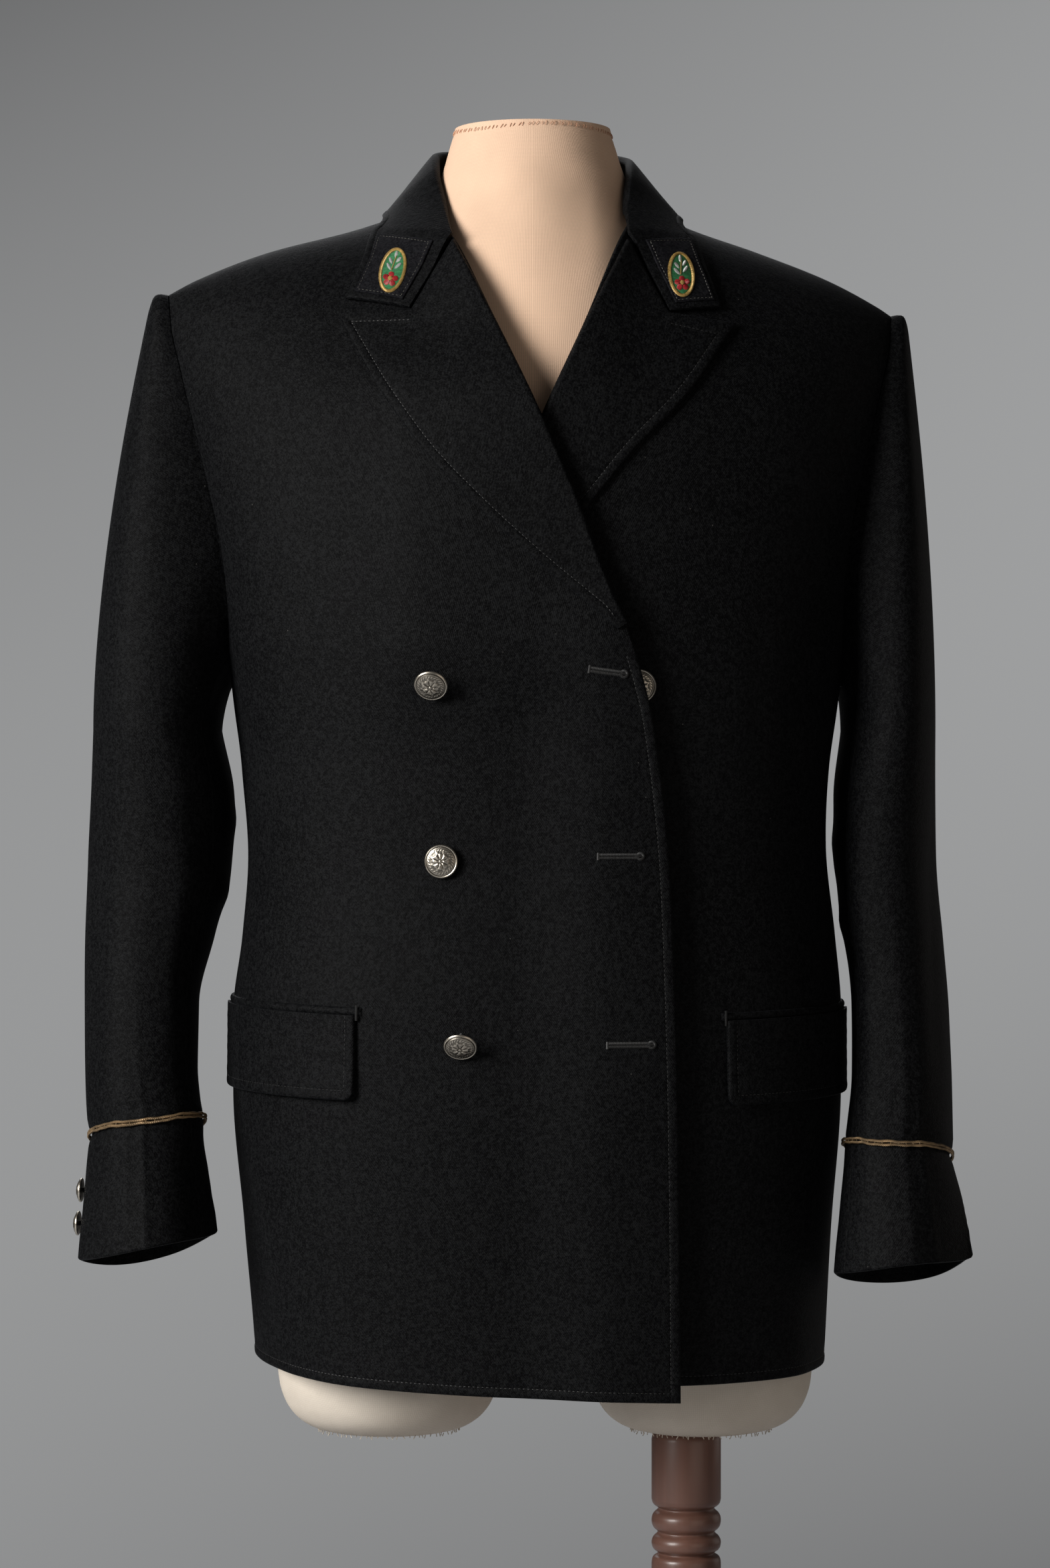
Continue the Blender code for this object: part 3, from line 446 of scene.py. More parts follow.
def collar_lines(station):
    """Inner line, outer edge and neck seam of the collar at a station, as points in space."""
    at_end = np.where(station < 8, np.minimum(station, 2.0), np.maximum(station, 14.0))
    inner_x, inner_z, outer_x, outer_z = COLLAR_ENDS(at_end)
    crease_x, crease_y, crease_z, seam_x, seam_y, edge_x, edge_y = COLLAR_RING(station)
    end_inner = body(*locate(inner_x, inner_z))
    end_outer = body(*locate(outer_x, outer_z))
    end_inner = end_inner + (COLLAR_LIFT - COLLAR_SEAT) * out_and_up(end_inner, 0.5)
    end_outer = end_outer + COLLAR_LIFT * out_and_up(end_outer, 0.5)
    ring_inner = stacked(crease_x, crease_y, crease_z)
    ring_outer = stacked(edge_x, edge_y, over(edge_x, edge_y) + COLLAR_LIFT - 1.0)
    ring_seam = stacked(seam_x, seam_y, over(seam_x, seam_y) + 3.2)
    share = smooth_step(1.8, 3.5, station) * (1 - smooth_step(12.5, 14.2, station))
    share = share[..., None]
    inner, outer = mixed(end_inner, ring_inner, share), mixed(end_outer, ring_outer, share)
    return inner, outer, mixed(end_inner, ring_seam, share)


def collar_surface(station, rise):
    """The collar's fall: rise 0 is its outer edge and 1 the crease."""
    inner, outer, _ = collar_lines(station)
    flat = mixed(outer, inner, rise[..., None])
    swell = COLLAR_SWELL * np.abs(np.sin(np.pi * rise)) ** 0.8
    return flat + swell[..., None] * out_and_up(flat, 0.6)


def stand_surface(station, rise):
    """The collar's stand: rise 0 is the neck seam and 1 lies under the crease."""
    crease, _, seam = collar_lines(station)
    top = crease - out_and_up(crease, 0.0) * 3.0 - (0.0, 0.0, 4.4)
    return mixed(seam, top, rise[..., None])


def sleeve_table(side):
    return RIGHT_SLEEVE if side == "right" else LEFT_SLEEVE


def sleeve_surface(side):
    """A sleeve's outer face by angle (0 outside, 90 front) and run (1 is where its table starts)."""
    table = sleeve_table(side)
    sign = -1.0 if side == "right" else 1.0
    length = table.rows[-1, 0]

    def ring(angle, down):
        outer_x, inner_x, middle_y, half_depth, tilt, twist, slant = table(down)
        around, tilt, twist = np.radians(angle), np.radians(tilt), np.radians(twist)
        outwards = signed_power(np.cos(around), 2 / SLEEVE_ROUND)
        aside = (outer_x - inner_x) / 2 * outwards
        deep = -half_depth * signed_power(np.sin(around), 2 / SLEEVE_ROUND)
        x = (outer_x + inner_x) / 2 + aside * np.cos(twist) - deep * np.cos(tilt) * np.sin(twist)
        y = middle_y + aside * np.sin(twist) + deep * np.cos(tilt) * np.cos(twist)
        return stacked(x, y, SLEEVE_TOP - down - deep * np.sin(tilt) - slant * outwards)

    def surface(angle, run):
        around = np.radians(angle)
        share = (1 + np.cos(around)) / 2
        level, front_angle, back_angle = ARMHOLE(share)
        at_front = smooth_step(-0.06, 0.06, np.sin(around))
        level = np.minimum(level, SHOULDER - 0.2)
        behind, before = body(sign * back_angle, level), body(sign * front_angle, level)
        seam = mixed(behind, before, at_front[..., None]) + (sign * CAP_GAP, 0.0, 0.0)
        head = np.clip(run, 0.0, 1.0) / HEAD_AT
        head = HEAD_SWELL * head * np.exp(1 - head) * np.clip(np.cos(around), 0, 1) ** 0.6
        head = stacked(sign * head, 0.0, 0.35 * head)
        first = ring(angle, np.zeros_like(run))
        out = 27 + 18 * np.cos(around)
        leave = stacked(sign * out, -10 * np.sin(around), 10 * np.cos(around))
        fall = stacked(0.0, 0.0, -1.15 * (seam - first)[..., 2])
        t = np.clip(run, -1.0, 1.0)[..., None]
        cap = seam * (1 + 2 * t) * (1 - t) ** 2 + leave * t * (1 - t) ** 2
        cap = cap + first * t * t * (3 - 2 * t) + fall * t * t * (t - 1)
        lower = ring(angle, np.clip(run - 1, 0, 1) * length)
        return np.where((run <= 1)[..., None], cap, lower) + head

    return surface


def sleeve_axis(surface, run):
    return (surface(np.zeros_like(run), run) + surface(np.full_like(run, 180.0), run)) / 2


def form_depth(x, z, facing):
    """How deep the torso is in front (facing -1) or behind (1) of x, z, or 0 outside it."""
    neck_side = np.clip((100 - np.abs(x)) / 30, 0, 1)
    crest = RIDGE(x) - FORM_DROP - FORM_NECK_DROP * neck_side
    share = np.clip((z - ARMPIT) / (crest - ARMPIT), 0.0, 1.0)
    turn = np.arcsin(share ** (FULL / 2))
    level = np.where(z < ARMPIT, z, ARMPIT + TURN_RUN * turn / np.radians(90))
    half, front, back, centre = FORM_BODY(level)
    across = np.clip(np.abs((x - centre) / half), 0.0, 1.0)
    return np.where(facing < 0, front, back) * (1 - across**FORM_ROUND) ** (1 / FORM_ROUND) * np.cos(turn)


def form_radius(around, z):
    """Distance of the form's skin from the neck's axis, with the neck blended into the torso."""
    near, far = np.zeros_like(around), np.full_like(around, 260.0)
    for _ in range(26):
        middle = (near + far) / 2
        x, y = middle * np.sin(around), -middle * np.cos(around)
        inside = np.abs(y) + 0.001 <= form_depth(x, z, np.sign(y))
        near, far = np.where(inside, middle, near), np.where(inside, far, middle)
    blend = 14.0
    return (near**blend + NECK_RADIUS(z) ** blend) ** (1 / blend)

# Sizes that only the dressed pieces use
GAP = 0.35
FRONT_LONG = 465.0
FRONT_TALL = 330.0
BACK_LONG = 460.0
BACK_TALL = 350.0
LAPEL_LONG = 232.0
LAPEL_GRAIN = {"right": 0.0, "left": 0.0}
DARTS = {"right": ((-142.0, 1155.0), (-128.0, 957.0)), "left": ((145.0, 1142.0), (144.0, 1077.0))}
BRAID_RADIUS = 0.95
FLAP_CORNER = 6.5
FLAP_CURL = {"right": 1.6, "left": 0.9}
WELT_HIGH = 5.4
BUTTON_GAP = 0.45
SHANK_RADIUS = 1.7
CUFF_SHANK = 1.8
BUTTONHOLES = (
    ((36.0, 1122.5), (58.0, 1119.5)),
    ((41.5, 1004.0), (68.0, 1004.0)),
    ((47.0, 885.5), (75.0, 885.5)),
)
PATCH_ENDS = {"right": (0.14, 1.62), "left": (14.36, 15.86)}
PATCH_EDGE = 0.13
BADGE_PLACE = {"right": (-90.0, 1381.0, 12.0), "left": (95.5, 1378.5, -4.0)}
BADGE_HALF_SIZE = (7.6, 14.6)
ROSETTE_LOW = -6.6
SPRIG = (
    (-2.6, 1.6, -38.0, 5.4), (2.7, 3.0, 36.0, 5.4), (-2.3, 5.8, -32.0, 4.8),
    (2.4, 7.2, 30.0, 4.4), (0.1, 10.6, 2.0, 4.6),
)
STUMP_LINE = (
    (0.03, 622.0), (0.38, 622.0), (0.62, 624.5), (0.8, 631.0), (0.92, 642.0), (0.98, 656.0),
    (1.0, 675.0), (1.0, 710.0), (1.0, 739.0),
)
NECK_SEAM_Z = 1480.5
FLOOR_RADIUS = 2900.0
FLOOR_COLOUR = (0.42, 0.43, 0.45)
FILL_COLOUR = (0.055, 0.054, 0.053)
LIGHTS = (
    ("key", (-2.9, -2.3, 2.2), 204.0, 1.6, (1.0, 0.98, 0.95)),
    ("fill", (1.9, -2.8, 1.0), 10.0, 2.4, (1.0, 0.88, 0.76)),
    ("side", (2.6, 1.5, 1.2), 3.5, 1.8, (1.0, 0.92, 0.85)),
    ("behind", (-0.4, 2.9, 2.9), 26.0, 2.2, (0.97, 0.98, 1.0)),
)
CAMERA_X, CAMERA_Z, CAMERA_LENS = -0.005, 1.05, 103.76

# The cuff's mouth: how far up it is pressed flat, how much its front hem hangs lower, and how
# pointed it is at its outer and inner sides
MOUTH_HIGH = 75.0
MOUTH_DROP = 12.0
MOUTH_POINT = {"right": (0.85, -0.15), "left": (0.8, 0.6)}
CAP_GAP = -0.2
HEAD_SWELL = 5.5
HEAD_AT = 0.09
COLLAR_SEAT = 1.2
BRAID_LEVEL = 7.0

# Folds: place round the piece, place along it, lean, width and height of each, and how far it stands
BODY_FOLDS = (
    (-158, 620, 4, 9, 160, 3.0),
    (-132, 610, -6, 8, 190, -2.6),
    (-113, 640, 5, 7, 200, 2.6),
    (-90, 600, 3, 7, 150, 1.8),
    (-64, 620, -4, 8, 130, -1.5),
    (-42, 610, 3, 8, 120, 1.6),
    (-15, 620, -2, 6, 90, -1.1),
    (8, 600, 2, 6, 110, 1.2),
    (37, 620, 4, 7, 120, -1.3),
    (60, 610, -3, 7, 140, 1.9),
    (88, 640, 4, 8, 170, -2.0),
    (111, 620, -6, 8, 200, 2.8),
    (136, 620, 5, 10, 160, -2.4),
    (164, 600, -3, 7, 150, 2.4),
    (-121, 1110, 8, 5.5, 110, 3.0),
    (123, 1130, -7, 6, 115, 2.7),
    (-139, 1090, 6, 7, 75, -1.8),
    (141, 1100, -8, 7, 80, -1.6),
    (-86, 1080, -6, 4.5, 70, 1.5),
    (84, 1090, 8, 5, 75, 1.7),
    (-70, 985, 14, 7, 28, -1.0),
    (66, 970, -12, 8, 30, -1.1),
    (150, 985, 16, 14, 14, 1.3),
    (-152, 962, -14, 15, 13, 1.2),
    (173, 1215, 5, 9, 70, -1.3),
)
RIGHT_SLEEVE_FOLDS = (
    (70, 640, 1, 4.0, 62, 0.9),
    (87, 650, 2, 3.2, 78, 1.1),
    (38, 500, -8, 13, 130, -1.6),
    (112, 470, 6, 11, 120, 1.7),
    (205, 480, 8, 13, 120, -2.2),
    (-18, 420, 5, 10, 110, 1.4),
    (262, 520, -6, 13, 150, 2.2),
    (150, 428, 30, 26, 9, -2.0),
    (165, 452, -26, 24, 8, 1.7),
    (140, 480, 22, 22, 9, -1.6),
    (185, 400, 18, 30, 10, 1.4),
    (120, 400, -24, 18, 10, -0.9),
    (60, 120, 10, 12, 60, 1.3),
    (128, 150, -12, 10, 60, -1.5),
    (300, 140, 10, 14, 70, 1.8),
)
LEFT_SLEEVE_FOLDS = (
    (58, 640, -2, 4.0, 80, 0.8),
    (76, 620, -1, 5.0, 110, 0.9),
    (30, 470, 8, 13, 120, -1.8),
    (118, 500, -6, 12, 130, 1.7),
    (200, 470, -8, 13, 120, -2.4),
    (-22, 440, -5, 9, 120, 1.5),
    (268, 510, 7, 13, 140, 2.3),
    (152, 440, -28, 25, 9, -1.9),
    (170, 466, 24, 26, 8, 1.8),
    (142, 494, -24, 20, 9, -1.6),
    (190, 412, -20, 30, 10, 1.4),
    (64, 130, -8, 12, 60, 1.4),
    (126, 160, 12, 10, 64, -1.4),
    (304, 130, -10, 14, 70, 1.7),
)
SLEEVE_RUN = 340.0

# Steps of a grid near an edge that is folded and stitched, and near a sewn seam
EDGE_STEPS = np.array([0.0, 0.12, 0.4, 0.8, 1.4, 2.4, 3.8, 5.2, 5.8, 6.3, 6.8, 7.4, 9.0])
STITCH_STEP = 9
SEAM_STEPS = np.array([0.0, 0.15, 0.45, 0.9, 1.6, 2.6, 4.2])
PLAIN_STEPS = np.array([0.0])
EDGE_ROUND = 1.3
SEAM_ROUND = 0.9
STITCH_DEEP = 0.34
STITCH_PITCH = 2.9
STITCH_LONG = 2.1
STITCH_THICK = 0.24
FOLD_ROUND = 2.6


def folds(table, across, along):
    """Sum of a table's folds, in millimetres outwards."""
    total = np.zeros(np.broadcast(across, along).shape)
    for place, at, lean, wide, tall, amount in table:
        off = (across - place - lean * (along - at) / 100 + 180.0) % 360.0 - 180.0
        total = total + amount * np.exp(-((off / wide) ** 2) - ((along - at) / tall) ** 2)
    return total


def body(angle, level):
    """The body cloth with its folds."""
    around = np.radians(angle)
    out = folds(BODY_FOLDS, angle, level)
    return smooth_body(angle, level) + stacked(out * np.sin(around), -out * np.cos(around), 0.0)


def pressed_sleeve(side):
    """The sleeve with its cuff pressed flat, so that its mouth is pointed at both sides."""
    smooth = sleeve_surface(side)
    length = sleeve_table(side).rows[-1, 0]
    point, lean = MOUTH_POINT[side]

    def surface(angle, run):
        place, mirrored = smooth(angle, run), smooth(-angle, run)
        around = np.radians(angle)
        near = smooth_step(length - MOUTH_HIGH, length, (run - 1) * length)
        keep = np.abs(np.sin(around)) ** (near * (point + lean * np.cos(around)))
        at_front = np.clip(np.sin(around), 0, 1)
        place = mixed((place + mirrored) / 2, place, keep[..., None])
        return place - stacked(0.0, 0.0, MOUTH_DROP * near * at_front**1.4)

    return surface


def folded_sleeve(side):
    """The sleeve's outer face with its folds."""
    smooth = pressed_sleeve(side)
    table = RIGHT_SLEEVE_FOLDS if side == "right" else LEFT_SLEEVE_FOLDS

    def surface(angle, run):
        place = smooth(angle, run)
        middle = (smooth(np.zeros_like(angle), run) + smooth(np.full_like(angle, 180.0), run)) / 2
        out = (place - middle) * (1.0, 1.0, 0.0)
        out = out / np.maximum(np.linalg.norm(out, axis=-1, keepdims=True), 1.0)
        amount = folds(table, angle, run * SLEEVE_RUN) * smooth_step(0.05, 0.4, run)
        return place + out * amount[..., None]

    return surface


class Wire:
    """An output socket that can be used in sums."""

    def __init__(self, look, socket):
        self.look, self.socket = look, socket

    def maths(self, operation, first, second):
        vectors = "VECTOR" in [x.socket.type for x in (first, second) if isinstance(x, Wire)]
        kind = "ShaderNodeVectorMath" if vectors else "ShaderNodeMath"
        return self.look.add(kind, {"operation": operation}, {0: first, 1: second})

    def __add__(self, other):
        return self.maths("ADD", self, other)

    def __radd__(self, other):
        return self.maths("ADD", other, self)

    def __sub__(self, other):
        return self.maths("SUBTRACT", self, other)

    def __rsub__(self, other):
        return self.maths("SUBTRACT", other, self)

    def __mul__(self, other):
        return self.maths("MULTIPLY", self, other)

    def __rmul__(self, other):
        return self.maths("MULTIPLY", other, self)

    def __truediv__(self, other):
        return self.maths("DIVIDE", self, other)

    def __pow__(self, other):
        return self.maths("POWER", self, other)

    def __gt__(self, other):
        return self.maths("GREATER_THAN", self, other)

    def sine(self):
        return self.look.add("ShaderNodeMath", {"operation": "SINE"}, {0: self})

    def size(self):
        return self.look.add("ShaderNodeMath", {"operation": "ABSOLUTE"}, {0: self})

    def step(self, low, high):
        """0 below low, 1 above high, smooth between."""
        limits = {"From Min": low, "From Max": high, "Value": self}
        return self.look.add("ShaderNodeMapRange", {"interpolation_type": "SMOOTHSTEP"}, limits)


class Look:
    """A material, or the world, and the nodes that make it."""

    def __init__(self, name, world=None):
        self.material = world or bpy.data.materials.new(name)
        self.material.use_nodes = True
        self.tree = self.material.node_tree
        self.shader = self.tree.nodes.get("Principled BSDF")

    def add(self, kind, settings=None, sockets=None, output=0):
        """Any node: its type, its settings, the values or links of its sockets, the output used."""
        node = self.tree.nodes.new(kind)
        for key, value in (settings or {}).items():
            if key == "stops":
                for stop, (position, colour) in zip(node.color_ramp.elements, value):
                    stop.position = position
                    stop.color = (*colour, 1.0)
            else:
                setattr(node, key, value)
        for key, value in (sockets or {}).items():
            self.put(node.inputs[key], value)
        return Wire(self, node.outputs[output])

    def put(self, socket, value):
        if isinstance(value, Wire):
            self.tree.links.new(value.socket, socket)
        elif hasattr(value, "__len__") and len(value) < len(socket.default_value):
            socket.default_value = (*value, 1.0)
        else:
            socket.default_value = value

    def mix(self, share, first, second):
        settings = {"data_type": "RGBA"}
        return self.add("ShaderNodeMix", settings, {0: share, 6: first, 7: second}, 2)

    def noise(self, place, scale, detail=2.0, roughness=0.5):
        sockets = {"Vector": place, "Scale": scale, "Detail": detail, "Roughness": roughness}
        return self.add("ShaderNodeTexNoise", None, sockets, 0)

    def place(self):
        """A point's place in metres, as it is in the piece."""
        return self.add("ShaderNodeTexCoord", None, None, 3)

    def parts(self, vector):
        """The three numbers of a vector."""
        node = self.add("ShaderNodeSeparateXYZ", None, {0: vector}).socket.node
        return [Wire(self, output) for output in node.outputs]

    def cloth_place(self):
        """A point's place on the cloth in millimetres, across and along, from its map."""
        return self.parts(self.add("ShaderNodeUVMap", {"uv_map": "cloth"}) * (1000.0, 1000.0, 0.0))

    def bump(self, height, distance, strength=1.0):
        sockets = {"Height": height, "Distance": distance, "Strength": strength}
        return self.add("ShaderNodeBump", None, sockets)

    def finish(self, **sockets):
        for key, value in sockets.items():
            self.put(self.shader.inputs[key.replace("_", " ")], value)
        return self.material


def wool(name, dark, lit, slope, pitch, lint):
    """Worn wool twill: slanting wales of spun yarn, a short nap and a few specks of lint."""
    look = Look(name)
    across, along, _ = look.cloth_place()
    place = look.place()
    cosine, sine = float(np.cos(np.radians(slope))), float(np.sin(np.radians(slope)))
    wander = look.noise(place, 260.0, 2.0) - 0.5
    wale = (across * (sine / pitch) - along * (cosine / pitch) + wander * 0.45) * (2 * np.pi)
    yarn = (across * (cosine / pitch * 1.7) + along * (sine / pitch * 1.7) + wander) * (2 * np.pi)
    ridge = wale.sine() * 0.5 + 0.5
    twist = (yarn + wale * 0.5).sine() * 0.5 + 0.5
    nap = look.noise(place, 2600.0, 2.0, 0.7)
    fleck = look.noise(place, 760.0, 2.0, 0.75)
    mottle = look.noise(place, 330.0, 3.0, 0.75)
    cloud = look.noise(place, 11.0, 3.0, 0.55)
    tone = ridge * 0.42 + twist * 0.16 + nap * 0.5 + (cloud - 0.5) * 0.4 + (fleck - 0.5) * 2.6 + (mottle - 0.5) * 2.4
    # The wale tops take the lighter colour and the hollows between them the darker: painted highlight and painted
    # shade of the twill's relief, mixed with the yarn's own random tone from nap, flecks and mottle.
    colour = look.mix(tone.step(0.15, 1.05), dark, lit)
    cell = {"Vector": place, "Scale": 210.0, "Randomness": 1.0}
    speck = look.add("ShaderNodeTexVoronoi", None, cell, 0)
    rare = look.parts(look.add("ShaderNodeTexVoronoi", None, cell, 1))[0]
    spotted = (1.0 - speck.step(0.05, 0.11)) * rare.step(1.0 - lint, 1.0 - lint * 0.6)
    colour = look.mix(spotted, colour, (0.055, 0.053, 0.050))
    height = ridge * 0.6 + twist * 0.25 + nap * 0.5 + fleck * 3.2 + mottle * 3.6
    return look.finish(
        Base_Color=colour,
        Roughness=0.62 - ridge * 0.10 + (cloud - 0.5) * 0.1,
        Normal=look.bump(height, 0.00016, 0.75),
        Specular_IOR_Level=0.05,
        Sheen_Weight=0.012,
        Sheen_Roughness=0.42,
        Sheen_Tint=(0.78, 0.84, 0.95),
    )


def thread(name, colour, shade, gloss=0.55, metallic=0.0):
    """Spun thread, lighter and darker along its length."""
    look = Look(name)
    place = look.place()
    cloud = look.noise(place, 420.0, 3.0, 0.6)
    fibre = look.noise(place, 5200.0, 1.0)
    return look.finish(
        Base_Color=look.mix((cloud * 0.7 + fibre * 0.4).step(0.35, 0.8), shade, colour),
        Roughness=gloss + (fibre - 0.5) * 0.2,
        Metallic=metallic,
        Normal=look.bump(fibre, 0.00006, 0.6),
    )


def knit(name, light, dark, rib, gauge):
    """Stretched jersey or calico: fine ribs crossed by rows, faintly clouded and rubbed."""
    look = Look(name)
    across, along, _ = look.cloth_place()
    place = look.place()
    wander = (look.noise(place, 160.0, 2.0) - 0.5) * 0.8
    ribs = ((across / rib + wander * 0.4) * (2 * np.pi)).sine() * 0.5 + 0.5
    rows = ((along / gauge + wander * 0.5) * (2 * np.pi)).sine() * 0.5 + 0.5
    cloud = look.noise(place, 14.0, 4.0, 0.6)
    fuzz = look.noise(place, 1900.0, 2.0)
    tone = ribs * 0.30 + rows * 0.18 + cloud * 0.6 + fuzz * 0.22
    return look.finish(
        Base_Color=look.mix(tone.step(0.25, 1.05), dark, light),
        Roughness=0.88 - ribs * 0.08,
        Normal=look.bump(ribs * 0.6 + rows * 0.35 + fuzz * 0.4, 0.00014, 0.6),
        Specular_IOR_Level=0.08,
    )


def nickel(name, bright, tarnish):
    """Worn nickel: bright where it is rubbed, brown-grey where it is not."""
    look = Look(name)
    place = look.place()
    cloud = look.noise(place, 190.0, 4.0, 0.65)
    grain = look.noise(place, 2400.0, 2.0)
    worn = look.add("ShaderNodeNewGeometry", None, None, 7).step(0.47, 0.56)
    share = (worn * 0.75 + cloud * 0.5).step(0.25, 0.85)
    return look.finish(
        Base_Color=look.mix(share, tarnish, bright),
        Metallic=1.0,
        Roughness=0.42 - share * 0.12 + (grain - 0.5) * 0.14,
        Normal=look.bump(grain * 0.4 + cloud * 0.6, 0.00005, 0.5),
    )


def gilt(name, bright, tarnish):
    """Tarnished gilt wire wound on a cord."""
    look = Look(name)
    place = look.place()
    cloud = look.noise(place, 95.0, 4.0, 0.7)
    wind = look.noise(place, 3600.0, 1.0)
    share = (cloud * 0.9 + wind * 0.35).step(0.42, 0.82)
    return look.finish(
        Base_Color=look.mix(share, tarnish, bright),
        Metallic=0.55 + (cloud - 0.5) * 0.3,
        Roughness=0.46 + (wind - 0.5) * 0.2,
        Normal=look.bump(wind, 0.00009, 0.8),
    )


def painted_wood(name, light, dark):
    """Turned wood under rose-brown paint that shows its grain and rubs thin on the beads."""
    look = Look(name)
    place = look.place()
    streak = look.noise(place * (95.0, 95.0, 5.0), 1.0, 4.0, 0.6)
    pore = look.noise(place * (700.0, 700.0, 40.0), 1.0, 2.0)
    cloud = look.noise(place, 9.0, 3.0)
    rubbed = look.add("ShaderNodeNewGeometry", None, None, 7).step(0.50, 0.60)
    tone = streak * 0.35 + cloud * 0.45 + rubbed * 0.3 + 0.15
    return look.finish(
        Base_Color=look.mix(tone.step(0.3, 0.85), dark, light),
        Roughness=0.36 + (pore - 0.5) * 0.14 + (cloud - 0.5) * 0.1,
        Normal=look.bump(streak * 0.6 + pore * 0.4, 0.00010, 0.35),
        Coat_Weight=0.12,
        Coat_Roughness=0.25,
    )


def plain_stage(name, colour):
    look = Look(name)
    grain = look.noise(look.place(), 3.0, 3.0)
    tone = look.mix(grain, [x * 0.96 for x in colour], [x * 1.04 for x in colour])
    return look.finish(Base_Color=tone, Roughness=0.9)


def soft_room(name):
    """A pale wall that the camera sees, lighter in the middle where a pool of light is painted on it; it lights the
    jacket only dimly.
    """
    world = bpy.data.worlds.new(name)
    world.use_nodes = True
    look = Look(name, world)
    across, _, up = look.parts(look.add("ShaderNodeTexCoord", None, None, 0))
    across = look.add("ShaderNodeClamp", None, {0: across, 1: -0.14, 2: 0.14})
    up = look.add("ShaderNodeClamp", None, {0: up, 1: -0.18, 2: 0.18})
    # Painted pool of light on the wall: brightest near the middle and darker towards the top and bottom.
    bright = 0.317 - up * up * 2.97 + across * up * 2.9 + across * 0.1225
    wall = look.mix(bright, (0.0, 0.0, 0.0), (1.0, 1.01, 1.02))
    # Camera rays see the wall with its painted light; all other rays see the dim fill colour.
    seen = look.add("ShaderNodeLightPath", None, None, 0)
    look.put(world.node_tree.nodes["Background"].inputs["Color"], look.mix(seen, FILL_COLOUR, wall))
    return world

def add_mesh(name, points, faces, looks, cloth_map=None, numbers=None, smooth_angle=50.0):
    """One object from points in millimetres, with its materials and its cloth map."""
    mesh = bpy.data.meshes.new(name)
    mesh.from_pydata((np.asarray(points, float) * MM).tolist(), [], faces)
    for look in looks:
        mesh.materials.append(look)
    if numbers is not None:
        mesh.polygons.foreach_set("material_index", np.asarray(numbers, np.int32))
    if cloth_map is not None:
        layer = mesh.uv_layers.new(name="cloth")
        layer.uv.foreach_set("vector", (np.asarray(cloth_map, np.float32) * MM).ravel())
    mesh.shade_smooth()
    mesh.set_sharp_from_angle(angle=np.radians(smooth_angle))
    mesh.update()
    made = bpy.data.objects.new(name, mesh)
    bpy.context.scene.collection.objects.link(made)
    return made


def lengths_along(points, axis):
    """Running length of a grid's rows or columns, from 0."""
    steps = np.linalg.norm(np.diff(points, axis=axis), axis=-1)
    start = np.zeros_like(np.take(steps, [0], axis=axis))
    return np.concatenate([start, np.cumsum(steps, axis=axis)], axis=axis)


def grid_map(points):
    """Cloth map of a grid from its own lengths across and along."""
    return np.stack([lengths_along(points, 1), lengths_along(points, 0)], axis=-1)


def shell(name, outside, inside, look, cloth_map=None, wraps=False):
    """A closed thin piece between two grids of points."""
    rows, columns = outside.shape[:2]
    count = rows * columns
    index = np.arange(count).reshape(rows, columns)
    at = np.concatenate([index, index[:, :1]], axis=1) if wraps else index
    quads = np.stack([at[:-1, :-1], at[:-1, 1:], at[1:, 1:], at[1:, :-1]], axis=-1).reshape(-1, 4)
    parts = [quads, quads[:, ::-1] + count]
    low, high = at[0], at[-1]
    parts.append(np.stack([low[1:], low[:-1], low[:-1] + count, low[1:] + count], axis=-1))
    parts.append(np.stack([high[:-1], high[1:], high[1:] + count, high[:-1] + count], axis=-1))
    if not wraps:
        first, last = at[:, 0], at[:, -1]
        parts.append(np.stack([first[:-1], first[1:], first[1:] + count, first[:-1] + count], axis=-1))
        parts.append(np.stack([last[1:], last[:-1], last[:-1] + count, last[1:] + count], axis=-1))
    faces = np.concatenate(parts)
    points = np.concatenate([outside.reshape(-1, 3), inside.reshape(-1, 3)])
    corner = points[quads]
    facing = np.cross(corner[:, 2] - corner[:, 0], corner[:, 3] - corner[:, 1])
    if np.sum(facing * (outside - inside).reshape(-1, 3)[quads[:, 0]]) < 0:
        faces = faces[:, ::-1]
    cloth_map = grid_map(outside) if cloth_map is None else cloth_map
    flat = cloth_map.reshape(-1, 2)
    places = flat[faces % count]
    if wraps:
        column = (faces % count) % columns
        across_seam = (column == 0) & (column.max(axis=1) == columns - 1)[:, None]
        ring = np.linalg.norm(outside[:, 0] - outside[:, -1], axis=-1)
        closing = flat.reshape(rows, columns, 2)[:, -1, 0] + ring
        row = (faces % count) // columns
        places[..., 0] = np.where(across_seam, closing[row], places[..., 0])
    return add_mesh(name, points, faces.tolist(), [look], places.reshape(-1, 2))


def out_of(surface, u, v, steps, away):
    """Directions out of a surface along one line of points."""
    along_u = surface(u + steps[0], v) - surface(u - steps[0], v)
    along_v = surface(u, v + steps[1]) - surface(u, v - steps[1])
    found = np.cross(along_u, along_v)
    found = found / np.linalg.norm(found, axis=-1, keepdims=True)
    return found * np.sign(np.sum(found * (surface(u, v) - away)))


def wear(piece, slot, *nodes):
    """The piece stands for these nodes, which are hidden, and rides with the part; slot is not used."""
    if nodes:
        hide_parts(*nodes)
    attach(piece, "root")
    return piece


def spaced(length, first, last, middle):
    """Shares of a length, with steps in millimetres at its ends."""
    inner = np.linspace(first[-1], length - last[-1], middle + 2)[1:-1]
    return np.concatenate([first, inner, (length - last)[::-1]]) / length


